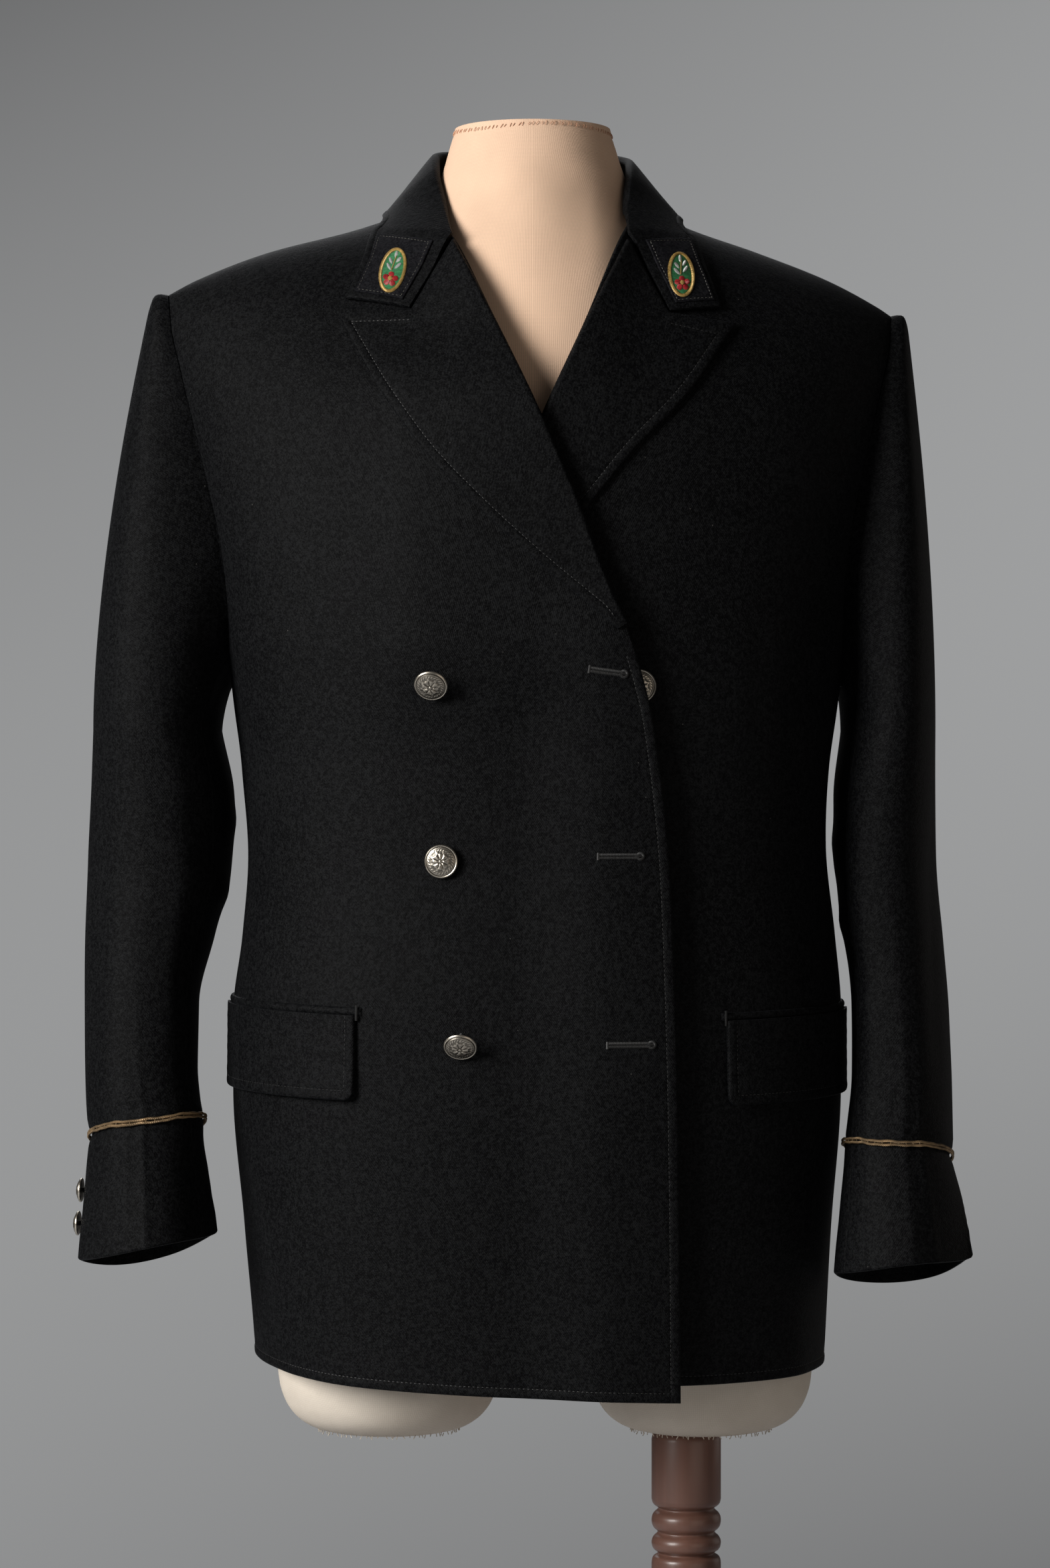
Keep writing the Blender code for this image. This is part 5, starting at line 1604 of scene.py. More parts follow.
def buttonhole(threads, start, end, drop):
    """A worked buttonhole on the outer front: purled edges, an eyelet at one end, a bar at the other."""
    def spot(x, z):
        angle, level = locate(x, z)
        place = body(angle, level)
        across = out_of(body, angle, level, (0.3, 1.0), (0, 0, 1000))
        return place + across * (outer_lift(place[..., 0], place[..., 2]) + drop)[..., None], across

    length = np.hypot(end[0] - start[0], end[1] - start[1])
    along = np.subtract(end, start) / length
    side = np.array((-along[1], along[0]))
    eye = 1.9
    slit = np.arange(0, length - 2 * eye, 0.52)
    outline = [(at, offset) for offset, row in ((1.05, slit), (-1.05, slit[::-1])) for at in row]
    turn = np.linspace(np.pi * 0.86, -np.pi * 0.86, 26)
    ring = [(length - eye + eye * np.cos(t), eye * np.sin(t)) for t in turn]
    path = outline[: len(slit)] + ring + outline[len(slit) :]
    for index, (at, offset) in enumerate(path):
        if len(slit) <= index < len(slit) + len(ring):
            centre = np.array((length - eye, 0.0))
            radial = (np.array((at, offset)) - centre) / eye
        else:
            radial = np.array((0.0, np.sign(offset)))
        inner = np.array((at, offset)) - radial * 0.75
        outer = np.array((at, offset)) + radial * 0.85
        share = np.linspace(0, 1, 6)[:, None]
        local = mixed(inner, outer, share)
        xz = np.asarray(start) + local[:, :1] * along + local[:, 1:] * side
        place, across = spot(xz[:, 0], xz[:, 1])
        bulge = 0.5 * np.sin(np.pi * np.clip(share[:, 0] * 0.9 + 0.1, 0, 1)) + 0.06
        threads.lay((place + across * bulge[:, None])[None], across[None], 0.27)
    tack = np.asarray(start) + side * np.linspace(-2.3, 2.3, 12)[:, None] - along * 0.9
    place, across = spot(tack[:, 0], tack[:, 1])
    bar(threads, place + across * 0.15, across[5], 1.9)


def buttonholes(thread_look, slit_shadow_look):
    """Worked buttonholes of the outer front, and a near-black tube of painted shade along the middle of each,
    standing in for the shadow in its slit.
    """
    threads, slit_shadows = Threads(), Threads()
    for start, end in BUTTONHOLES:
        buttonhole(threads, start, end, 0.15)
        line = np.linspace(0.02, 0.97, 16)[:, None]
        xz = mixed(np.asarray(start, float), np.asarray(end, float), line)
        angle, level = locate(xz[:, 0], xz[:, 1])
        place = body(angle, level)
        across = out_of(body, angle, level, (0.3, 1.0), (0, 0, 1000))
        place = place + across * (outer_lift(place[:, 0], place[:, 2]))[:, None]
        # A near-black tube laid along the slit is painted shade for its opening, wider at the eye.
        wide = np.where(line[:, 0] > 0.84, 0.95, 0.34)
        slit_shadows.lay(place[None], across[None], wide[None, :, None])
    wear(threads.build("buttonholes", thread_look), "wool_twill")
    wear(slit_shadows.build("buttonhole_slit_shadows", slit_shadow_look), "wool_twill")


def turned(name, profile, foot, axis, segments, look, slot, replaced, marks=None, smooth_angle=35.0):
    """A closed round piece from radius and height pairs along an axis; marks move its points."""
    axis = np.array(Vector(axis).normalized())
    aside = np.cross(axis, (0.0, 1.0, 0.0) if abs(axis[1]) < 0.9 else (1.0, 0.0, 0.0))
    aside = aside / np.linalg.norm(aside)
    third = np.cross(axis, aside)
    points, rings = [], []
    turn = np.linspace(0, 2 * np.pi, segments, endpoint=False)
    for radius, height in profile:
        if radius == 0:
            rings.append([len(points)])
            points.append(np.asarray(foot, float) + axis * height)
            continue
        rings.append(list(range(len(points), len(points) + segments)))
        raised = height + (marks(radius, turn) if marks else 0 * turn)
        ring = np.cos(turn)[:, None] * aside + np.sin(turn)[:, None] * third
        points += list(np.asarray(foot, float) + axis * raised[:, None] + radius * ring)
    piece = add_mesh(f"{name}_turned", points, ring_faces(rings, segments), [look], None, None, smooth_angle)
    return wear(piece, slot, *replaced)


def ring_faces(rings, segments):
    """Faces between rings of points, where a ring of one point is a pole."""
    faces = []
    for low, high in zip(rings[:-1], rings[1:]):
        for k in range(segments):
            after = (k + 1) % segments
            if len(low) == 1:
                faces.append((low[0], high[after], high[k]))
            elif len(high) == 1:
                faces.append((low[k], low[after], high[0]))
            else:
                faces.append((low[k], low[after], high[after], high[k]))
    return faces


def button_relief(size):
    """A raised rosette of eight petals inside a roped ring, as height by radius and turn."""
    def height(radius, turn):
        share = radius / size
        petals = np.abs(np.cos(4 * turn)) ** 0.7
        flower = 0.52 * petals * smooth_step(0.10, 0.22, share) * (1 - smooth_step(0.42, 0.56, share))
        heart = 0.5 * (1 - smooth_step(0.06, 0.12, share))
        rope = 0.30 * (0.5 + 0.5 * np.cos(26 * turn + 30 * share)) * np.exp(-(((share - 0.70) / 0.06) ** 2))
        leaves = 0.34 * np.clip(-np.cos(8 * turn), 0, 1) * np.exp(-(((share - 0.53) / 0.09) ** 2))
        return (flower + heart + rope + leaves) * size / 10.8
    return height


def button(name, size, shank, foot, axis, metal_look, thread_look):
    """A domed button with a raised rim and a struck design, on a shank wound with thread."""
    dome = [(size * s, shank + 3.9 - 2.3 * s**2.2 + 0.0) for s in np.linspace(0.83, 0.03, 40)]
    profile = [
        (0.0, shank), (size * 0.5, shank + 0.05), (size * 0.93, shank + 0.35), (size * 0.99, shank + 0.7),
        (size, shank + 1.05), (size * 0.985, shank + 1.5), (size * 0.955, shank + 1.9), (size * 0.92, shank + 2.1),
        (size * 0.885, shank + 2.02), (size * 0.86, shank + 1.8),
    ] + dome + [(0.0, shank + 4.4 * 1.0)]
    relief = button_relief(size)

    def marks(radius, turn):
        return relief(radius, turn) if radius < size * 0.835 else 0 * turn

    profile[10:] = [(r, h) for r, h in profile[10:]]
    turned(name, profile, foot, axis, 96, metal_look, "button_metal", (name,), marks)
    threads = Threads()
    axis = np.array(Vector(axis).normalized())
    aside = np.cross(axis, (1.0, 0.0, 0.0))
    aside = aside / np.linalg.norm(aside)
    third = np.cross(axis, aside)
    turns = max(3, int(shank / 0.8))
    turn = np.linspace(0, 2 * np.pi * turns, 14 * turns)
    rise = np.linspace(0.1, shank + 0.1, len(turn))
    out = np.cos(turn)[:, None] * aside + np.sin(turn)[:, None] * third
    path = np.asarray(foot) + axis * rise[:, None] + out * 1.25
    threads.lay(path[None], out[None], 0.48)
    wear(threads.build(f"{name}_shank", thread_look), "button_metal")


def front_normal(x, z):
    angle, level = locate(np.array([[x]]), np.array([[z]]))
    step = np.array([[1.0]])
    along_u = body(angle + 0.3 * step, level) - body(angle - 0.3 * step, level)
    along_v = body(angle, level + step) - body(angle, level - step)
    normal = np.cross(along_v, along_u)[0, 0]
    normal = normal * -np.sign(normal[1])
    return body(angle, level)[0, 0], normal / np.linalg.norm(normal)


def buttons(metal_look, thread_look):
    for name, x, z, tilt, shank in FRONT_BUTTONS:
        spot, normal = front_normal(x, z)
        lift = outer_lift(x, z) if name.startswith("right") else 0.0
        lean = np.radians(tilt)
        foot = spot + normal * (lift + BUTTON_GAP + SHANK_RADIUS * np.sin(lean))
        axis = normal * np.cos(lean) - np.array((0.0, 0.0, 1.0)) * np.sin(lean)
        button(f"button_front_{name}", FRONT_BUTTON_RADIUS, shank, foot, axis, metal_look, thread_look)
    for side in ("right", "left"):
        surface = sleeve_surface(side)
        length = sleeve_table(side).rows[-1, 0]
        for number, down in enumerate(CUFF_BUTTONS_DOWN[side], start=1):
            angle, run = np.array([[CUFF_BUTTON_ANGLE[side]]]), np.array([[1 + down / length]])
            along_u = surface(angle + 1.0, run) - surface(angle - 1.0, run)
            along_v = surface(angle, run + 0.005) - surface(angle, run - 0.005)
            normal = np.cross(along_u, along_v)[0, 0]
            normal = normal / np.linalg.norm(normal)
            if (normal[0] < 0) != (side == "right"):
                normal = -normal
            foot = surface(angle, run)[0, 0] + normal * BUTTON_GAP
            name = f"button_cuff_{side}_{number}"
            button(name, CUFF_BUTTON_RADIUS, CUFF_SHANK, foot, normal, metal_look, thread_look)

def on_collar(station, rise, lift):
    """Points above the collar's fall, and the directions out of it."""
    place = collar_surface(station, rise)
    small_u, small_v = 0.01, 0.01
    along_u = collar_surface(station + small_u, rise) - collar_surface(station - small_u, rise)
    along_v = collar_surface(station, rise + small_v) - collar_surface(station, rise - small_v)
    out = np.cross(along_u, along_v)
    out = out / np.linalg.norm(out, axis=-1, keepdims=True)
    out = out * -np.sign(out[..., 1:2])
    return place + out * np.asarray(lift)[..., None], out


def collar_share(x, z, side):
    """Station and rise of the collar's point that is seen at x, z."""
    low, high = PATCH_ENDS[side]
    station = np.full(np.shape(x), (low + high) / 2)
    rise = np.full(np.shape(x), 0.5)
    for _ in range(12):
        here = collar_surface(station, rise)
        along_u = (collar_surface(station + 0.01, rise) - here) / 0.01
        along_v = (collar_surface(station, rise + 0.01) - here) / 0.01
        dx, dz = x - here[..., 0], z - here[..., 2]
        turn = along_u[..., 0] * along_v[..., 2] - along_u[..., 2] * along_v[..., 0]
        station = station + np.clip((dx * along_v[..., 2] - dz * along_v[..., 0]) / turn, -0.3, 0.3)
        rise = rise + np.clip((dz * along_u[..., 0] - dx * along_u[..., 2]) / turn, -0.3, 0.3)
    return station, rise


def patch(side, cloth_look, thread_look):
    """The facing cloth on a collar end, with its dashed border of light thread."""
    low, high = PATCH_ENDS[side]
    along = spaced(1.0, SEAM_STEPS[:5] / 40, SEAM_STEPS[:5] / 40, 40)
    up = spaced(1.0, SEAM_STEPS[:5] / 40, SEAM_STEPS[:5] / 40, 26)
    station, rise = np.meshgrid(mixed(low, high, along), mixed(PATCH_EDGE, 1 - PATCH_EDGE, up), indexing="ij")
    place, out = on_collar(station, rise, 0 * station)
    run, rows = lengths_along(place, 1), lengths_along(place, 0)
    from_edge = np.minimum(np.minimum(run, run[:, -1:] - run), np.minimum(rows, rows[-1:] - rows))
    relief = 0.10 * np.sin(run * 0.5) * np.sin(rows * 0.4) - 0.22 * np.exp(-(((from_edge - 2.0) / 0.7) ** 2))
    relief = relief - rolled(from_edge, 0.6)
    outside = place + out * (GAP + PATCH_THICK + relief)[..., None]
    inside = place + out * (0.5 * GAP)
    name = f"collar_patch_{side}"
    piece = shell(f"{name}_cloth", outside, inside, cloth_look)
    wear(piece, "patch_cloth", name)
    threads = Threads()
    inset_u = 2.0 / rows[-1, 20]
    inset_v = 2.0 / run[20, -1] * (1 - 2 * PATCH_EDGE)
    first, last = mixed(low, high, inset_u), mixed(low, high, 1 - inset_u)
    bottom, top = PATCH_EDGE + inset_v, 1 - PATCH_EDGE - inset_v
    share = np.linspace(0, 1, 60)
    lines = (
        (mixed(first, last, share), np.full(60, top)), (mixed(first, last, share), np.full(60, bottom)),
        (np.full(60, first), mixed(bottom, top, share)), (np.full(60, last), mixed(bottom, top, share)),
    )
    for stations, rises in lines:
        path, path_out = on_collar(stations, rises, np.full(60, GAP + PATCH_THICK - 0.12))
        threads.stitch(path, path_out, 2.7, 1.7, 0.22)
    wear(threads.build(f"stitching_patch_{side}", thread_look), "patch_cloth")
    return piece, outside


class Badge:
    """Satin stitches drawn in a badge's own plane and laid on the collar."""

    def __init__(self, side):
        x, z, lean = BADGE_PLACE[side]
        lean = np.radians(lean)
        right, up = np.array((np.cos(lean), -np.sin(lean))), np.array((np.sin(lean), np.cos(lean)))
        across, along = np.meshgrid(np.arange(-11.0, 11.5), np.arange(-18.0, 18.5), indexing="ij")
        xz = np.array((x, z)) + across[..., None] * right + along[..., None] * up
        station, rise = collar_share(xz[..., 0], xz[..., 1], side)
        self.place, self.out = on_collar(station, rise, GAP + PATCH_THICK + 0 * station)

    def read(self, grid, path):
        """The grid of whole millimetres read between its points."""
        a, b = path[..., 0] + 11.0, path[..., 1] + 18.0
        i = np.clip(a.astype(int), 0, grid.shape[0] - 2)
        j = np.clip(b.astype(int), 0, grid.shape[1] - 2)
        a, b = (a - i)[..., None], (b - j)[..., None]
        low, high = mixed(grid[i, j], grid[i + 1, j], a), mixed(grid[i, j + 1], grid[i + 1, j + 1], a)
        return mixed(low, high, b)

    def lay(self, threads, path, lift, thick):
        path = np.asarray(path, float)
        out = self.read(self.out, path)
        threads.lay(self.read(self.place, path) + out * np.asarray(lift)[..., None], out, thick)

    def satin(self, threads, middle, long, wide, angle, lift, swell=0.5, thick=0.2, gap=0.36):
        """A padded leaf shape filled with threads across it."""
        slant = np.radians(angle)
        ahead, aside = np.array((np.sin(slant), np.cos(slant))), np.array((np.cos(slant), -np.sin(slant)))
        at = np.arange(-long / 2 + gap / 2, long / 2, gap)
        half = wide / 2 * np.sqrt(np.clip(1 - (2 * at / long) ** 2, 0.02, 1)) ** 1.1
        share = np.linspace(-1, 1, 7)
        path = np.asarray(middle) + at[:, None, None] * ahead + (half[:, None] * share)[..., None] * aside
        path = path + (np.abs(share) * 0.35)[None, :, None] * ahead
        raised = lift + swell * np.sqrt(np.clip(1 - share**2, 0, 1))[None, :] * (half / (wide / 2))[:, None]
        self.lay(threads, path, raised, thick)


def badge(side, looks):
    """An oval badge of satin stitches: a roped rim, a green field, a rosette below and a sprig above."""
    plan = Badge(side)
    half_x, half_z = BADGE_HALF_SIZE
    field, rim, red, silver, gold = (Threads() for _ in range(5))
    rows = np.arange(-half_z + 1.0, half_z - 0.9, 0.37)
    for k, row in enumerate(rows):
        half = (half_x - 0.9) * np.sqrt(max(1 - (row / (half_z - 0.7)) ** 2, 0.01))
        share = np.linspace(-1, 1, 11)
        path = np.stack([half * share, row + 0.35 * share * np.cos(k * 2.1) * 0.4 + 0.6 * share], axis=-1)
        plan.lay(field, path[None], 0.12 + 0.34 * np.sqrt(np.clip(1 - share**2, 0, 1))[None], 0.215)
    turn = np.linspace(0, 2 * np.pi, 240, endpoint=False)
    oval = np.stack([half_x * np.sin(turn), half_z * np.cos(turn)], axis=-1)
    ahead = np.roll(oval, -1, axis=0) - np.roll(oval, 1, axis=0)
    ahead = ahead / np.linalg.norm(ahead, axis=-1, keepdims=True)
    aside = np.stack([-ahead[:, 1], ahead[:, 0]], axis=-1)
    for k in range(0, 240, 2):
        share = np.linspace(-1, 1, 7)[:, None]
        path = oval[k] + aside[k] * share * 0.95 + ahead[k] * share * 0.75
        arch = 0.25 + 0.72 * np.sqrt(np.clip(1 - share[:, 0] ** 2, 0, 1))
        plan.lay(rim, path[None], arch[None], 0.25)
    for k in range(5):
        lean = k * 72.0
        away = np.radians(lean)
        centre = (2.9 * np.sin(away), ROSETTE_LOW + 2.9 * np.cos(away))
        plan.satin(red, centre, 4.0, 3.6, lean, 0.55, 0.7)
    plan.satin(gold, (0.0, ROSETTE_LOW), 3.0, 2.8, 0.0, 1.05, 0.6)
    for centre_x, centre_z, lean, long in SPRIG:
        plan.satin(silver, (centre_x, centre_z), long, 1.9, lean, 0.5, 0.5)
    stem = np.stack([np.linspace(-0.5, 0.6, 9), np.linspace(-0.6, 9.6, 9)], axis=-1)
    plan.lay(gold, stem[None], np.full((1, 9), 0.75), 0.32)
    name = f"collar_badge_{side}"
    wear(field.build(f"{name}_field", looks["green"]), "badge_thread", name)
    wear(rim.build(f"badge_rim_{side}", looks["gold"]), "badge_thread")
    wear(red.build(f"badge_rosette_{side}", looks["red"]), "badge_thread")
    wear(silver.build(f"badge_sprig_{side}", looks["silver"]), "badge_thread")
    wear(gold.build(f"badge_gold_{side}", looks["gold"]), "badge_thread")


def form_skin(jersey_look, calico_look, thread_look):
    """The torso and neck under their knitted cover, with the cap seam on the neck."""
    segments = 120
    around = np.linspace(0, 2 * np.pi, segments, endpoint=False)
    levels = np.concatenate([
        np.linspace(715, 1330, 40), np.linspace(1333, 1440, 34), np.linspace(1443, 1484, 16),
    ])
    radius = form_radius(np.broadcast_to(around, (len(levels), segments)), levels[:, None] + 0 * around)
    ring = stacked(radius * np.sin(around), -radius * np.cos(around), levels[:, None] + 0 * around)
    cap_in = np.linspace(0, 1, 16)[1:]
    inner = []
    for share in cap_in:
        bend = np.sin(share * np.pi / 2)
        flat = ring[-1] * (1 - 0.96 * bend, 1 - 0.96 * bend, 1.0)
        rise = 2.6 * np.sin(min(share * 3, 1.0) * np.pi / 2) - 0.5 * share
        inner.append(flat + (0.0, 0.0, rise))
    floor = [ring[0] * (1 - s, 1 - s, 1.0) + (0.0, 0.0, 3.0 * s) for s in (0.98, 0.6, 0.2, 0.06)]
    skin = np.concatenate([np.array(floor), ring, np.array(inner)])
    seam = NECK_SEAM_Z + 1.2 * np.sin(around * 3 + 0.6) + 0.5 * np.sin(around * 11)
    off = skin[..., 2] - seam
    near_neck = smooth_step(1400.0, 1440.0, skin[..., 2])
    relief = -0.9 * np.exp(-((off / 0.9) ** 2)) * near_neck - 0.25 * np.exp(-(((off + 4) / 3) ** 2)) * near_neck
    creases = 0.35 * np.sin(around * 7 + skin[..., 2] * 0.05) * np.exp(-(((skin[..., 2] - 1452) / 14) ** 2))
    out = skin * (1.0, 1.0, 0.0)
    out = out / np.maximum(np.linalg.norm(out, axis=-1, keepdims=True), 1.0)
    skin = skin + out * (relief + creases)[..., None]
    rows, columns = skin.shape[:2]
    index = np.arange(rows * columns).reshape(rows, columns)
    beside = np.roll(index, -1, axis=1)
    quads = np.stack([index[:-1], beside[:-1], beside[1:], index[1:]], axis=-1).reshape(-1, 4)
    faces = quads.tolist() + [index[0, ::-1].tolist(), index[-1].tolist()]
    # The length round the cover runs the full turn, so the rib keeps its width
    plan = np.stack([around * 62.0 + 0 * skin[..., 0], skin[..., 2]], axis=-1).reshape(-1, 2)
    wrapped = plan[quads].copy()
    closing = quads % columns == 0
    last = (quads % columns).max(axis=1) == columns - 1
    wrapped[..., 0] += np.where(closing & last[:, None], 2 * np.pi * 62.0, 0.0)
    cloth_map = np.concatenate([wrapped.reshape(-1, 2), plan[index[0, ::-1]], plan[index[-1]]])
    points = skin.reshape(-1, 3)
    piece = add_mesh("dress_form_skin", points, faces, [jersey_look], cloth_map)
    wear(piece, "form_jersey", "dress_form")
    threads = Threads()
    for k in range(0, 110):
        at = 2 * np.pi * k / 110 + 0.01 * np.sin(k * 3.3)
        z = NECK_SEAM_Z + 1.2 * np.sin(at * 3 + 0.6)
        length = 2.2 + 0.5 * np.sin(k * 2.7)
        share = np.linspace(-0.5, 0.5, 7)
        turn = at + 0.024 * share + 0.01 * np.sin(k * 1.9) * share
        level = z + share * length
        radius = form_radius(turn, level) + 0.05 + 0.25 * (1 - (2 * share) ** 2)
        path = stacked(radius * np.sin(turn), -radius * np.cos(turn), level)
        threads.lay(path[None], (path * (1.0, 1.0, 0.0) / 60)[None], 0.22)
    wear(threads.build("neck_stitches", thread_look), "form_jersey")


def stumps(calico_look, thread_look):
    """The two thigh stumps in their calico cover, gathered at the bottom in a frayed seam."""
    for number, (side, x) in enumerate(STUMPS):
        half_x, half_y = STUMP_HALF
        profile = np.array(smooth_profile(STUMP_LINE, 0.12))
        segments = 96
        turn = np.linspace(0, 2 * np.pi, segments, endpoint=False)
        out = np.stack([np.cos(turn) * half_x, np.sin(turn) * half_y], axis=-1)
        z = profile[:, 1:2] + 0 * turn
        pleat = 0.5 * np.sin(turn * 23 + number) + 0.35 * np.sin(turn * 41 + 2 * number)
        near_seam = np.exp(-(((z - 626) / 3) ** 2))
        ragged = 1 + near_seam * pleat * 0.008
        ragged = ragged + 0.006 * np.sin(turn * 2 + z * 0.05 + number)
        place = stacked(x + profile[:, :1] * ragged * out[:, 0], STUMP_Y + profile[:, :1] * ragged * out[:, 1], z)
        rows, columns = place.shape[:2]
        index = np.arange(rows * columns).reshape(rows, columns)
        beside = np.roll(index, -1, axis=1)
        quads = np.stack([index[:-1], beside[:-1], beside[1:], index[1:]], axis=-1).reshape(-1, 4)
        faces = quads.tolist() + [index[0, ::-1].tolist(), index[-1].tolist()]
        plan = np.stack([turn * 71.0 + 0 * z, z], axis=-1).reshape(-1, 2)
        wrapped = plan[quads].copy()
        closing, last = quads % columns == 0, (quads % columns).max(axis=1) == columns - 1
        wrapped[..., 0] += np.where(closing & last[:, None], 2 * np.pi * 71.0, 0.0)
        cloth_map = np.concatenate([wrapped.reshape(-1, 2), plan[index[0, ::-1]], plan[index[-1]]])
        piece = add_mesh(f"stump_{side}", place.reshape(-1, 3), faces, [calico_look], cloth_map)
        wear(piece, "form_jersey")
        threads = Threads()
        for k in range(90):
            at = 2 * np.pi * (k + 0.4 * np.sin(k * 5.1)) / 90
            low, high = 622.6 + 0.6 * np.sin(k * 2.3), 624.6 + 0.4 * np.sin(k * 3.7)
            t = np.linspace(0, 1, 6)
            level = mixed(high, low, t)
            swing = at + 0.03 * np.sin(k * 1.7) * t
            radius = 0.63 + 0.01 * np.sin(k * 4.1) * t
            path = stacked(x + half_x * radius * np.cos(swing), STUMP_Y + half_y * radius * np.sin(swing), level)
            outs = stacked(np.cos(swing), np.sin(swing), 0 * t)
            threads.lay(path[None], outs[None], 0.3)
        wear(threads.build(f"frayed_seam_{side}", thread_look), "form_jersey")


def smooth_profile(points, step):
    """A turned profile with rounded hollows and beads between its given points."""
    table = Table("at radius height", *[(k, r, z) for k, (r, z) in enumerate(points)])
    radius, height = table(np.arange(0, len(points) - 1 + step / 2, step))
    return [(float(r), float(z)) for r, z in zip(radius, height)]


def stand(wood_look):
    top = [(0.0, POLE_TOP), (0.5, POLE_TOP), (17.5, POLE_TOP), (20.5, POLE_TOP - 0.8), (22.3, POLE_TOP - 2.8), (23.0, POLE_TOP - 6.0)]
    beads = [
        (23.0, 576.0), (22.4, 573.4), (20.6, 571.4), (19.2, 570.6), (18.6, 569.6), (19.4, 568.4),
        (21.6, 566.4), (22.8, 563.8), (23.0, 561.5), (22.6, 558.8), (21.4, 556.6), (19.6, 555.0), (18.9, 554.0),
        (19.6, 552.8), (21.6, 551.0), (22.8, 548.6), (23.0, 547.0), (22.7, 544.6), (21.5, 542.5), (19.4, 541.0),
        (18.6, 540.0), (19.4, 539.2), (21.8, 537.6), (22.7, 535.6), (23.0, 533.0),
    ]
    body_line = [(23.0, z) for z in np.linspace(515.0, 140.0, 18)]
    foot = [
        (23.2, 120.0), (25.0, 100.0), (31.0, 80.0), (33.6, 68.0), (33.6, 58.0), (30.0, 46.0), (27.0, 41.0),
        (28.5, 37.5), (34.0, 35.0), (38.0, 32.5), (38.2, BASE_THICK + GAP), (37.0, BASE_THICK + GAP), (0.0, BASE_THICK + GAP),
    ]
    profile = top + smooth_profile(beads, 0.25) + body_line + smooth_profile(foot[:10], 0.25) + foot[10:]
    turned("pole", profile[::-1], (POLE_X, 0, 0), (0, 0, 1), 52, wood_look, "turned_wood", ("pole",), None, 30.0)
    edge = smooth_profile([
        (70.0, BASE_THICK), (BASE_RADIUS - 70, BASE_THICK - 1.6), (BASE_RADIUS - 30, 25.6), (BASE_RADIUS - 22, 24.6),
        (BASE_RADIUS - 19, 22.0), (BASE_RADIUS - 12, 20.6), (BASE_RADIUS - 4, 17.0), (BASE_RADIUS, 11.0),
        (BASE_RADIUS - 0.8, 4.0), (BASE_RADIUS - 3, 0.6), (BASE_RADIUS - 6, 0.0),
    ], 0.2)
    profile = [(0.0, 0.0)] + edge[::-1] + [(0.0, BASE_THICK)]
    turned("base", profile, (POLE_X, 0, 0), (0, 0, 1), 112, wood_look, "turned_wood", ("base",), None, 30.0)


def surface_area(points):
    """Area of a grid of points, in square millimetres."""
    first = np.cross(points[1:, :-1] - points[:-1, :-1], points[:-1, 1:] - points[:-1, :-1])
    second = np.cross(points[1:, :-1] - points[1:, 1:], points[:-1, 1:] - points[1:, 1:])
    return 0.5 * float(np.sum(np.linalg.norm(first, axis=-1) + np.linalg.norm(second, axis=-1)))


class JacketSettings(PropertyGroup):
    # The two cloth colours are mixed by the twill: partly the yarn's own tone, partly painted highlight on the wales
    # and painted shade between them.
    cloth: FloatVectorProperty(
        name="Cloth", description="Colour of the wool twill where the light catches it",
        subtype="COLOR", size=3, default=(0.0078, 0.0082, 0.0088), min=0.0, max=1.0,
    )
    cloth_dark: FloatVectorProperty(
        name="Cloth, dark", description="Colour between the wales of the twill",
        subtype="COLOR", size=3, default=(0.0009, 0.0009, 0.0012), min=0.0, max=1.0,
    )
    wale: FloatProperty(
        name="Wale spacing", description="Distance between two wales of the twill, in millimetres",
        default=0.95, min=0.3, max=3.0, unit="NONE",
    )
    gilt: FloatVectorProperty(
        name="Braid", description="Colour of the tarnished cuff braid",
        subtype="COLOR", size=3, default=(0.40, 0.27, 0.145), min=0.0, max=1.0,
    )
    metal: FloatVectorProperty(
        name="Buttons", description="Colour of the rubbed metal of the buttons",
        subtype="COLOR", size=3, default=(0.58, 0.53, 0.45), min=0.0, max=1.0,
    )
    skin: FloatVectorProperty(
        name="Dress form", description="Colour of the knitted cover of the torso",
        subtype="COLOR", size=3, default=(0.86, 0.60, 0.43), min=0.0, max=1.0,
    )
    wood: FloatVectorProperty(
        name="Wood", description="Colour of the painted pole and its base",
        subtype="COLOR", size=3, default=(0.175, 0.085, 0.062), min=0.0, max=1.0,
    )
    camera_distance: FloatProperty(
        name="Camera distance", description="Distance of the camera from the middle of the jacket",
        default=3.0, min=1.0, max=10.0, unit="LENGTH",
    )


LOOKS = {}


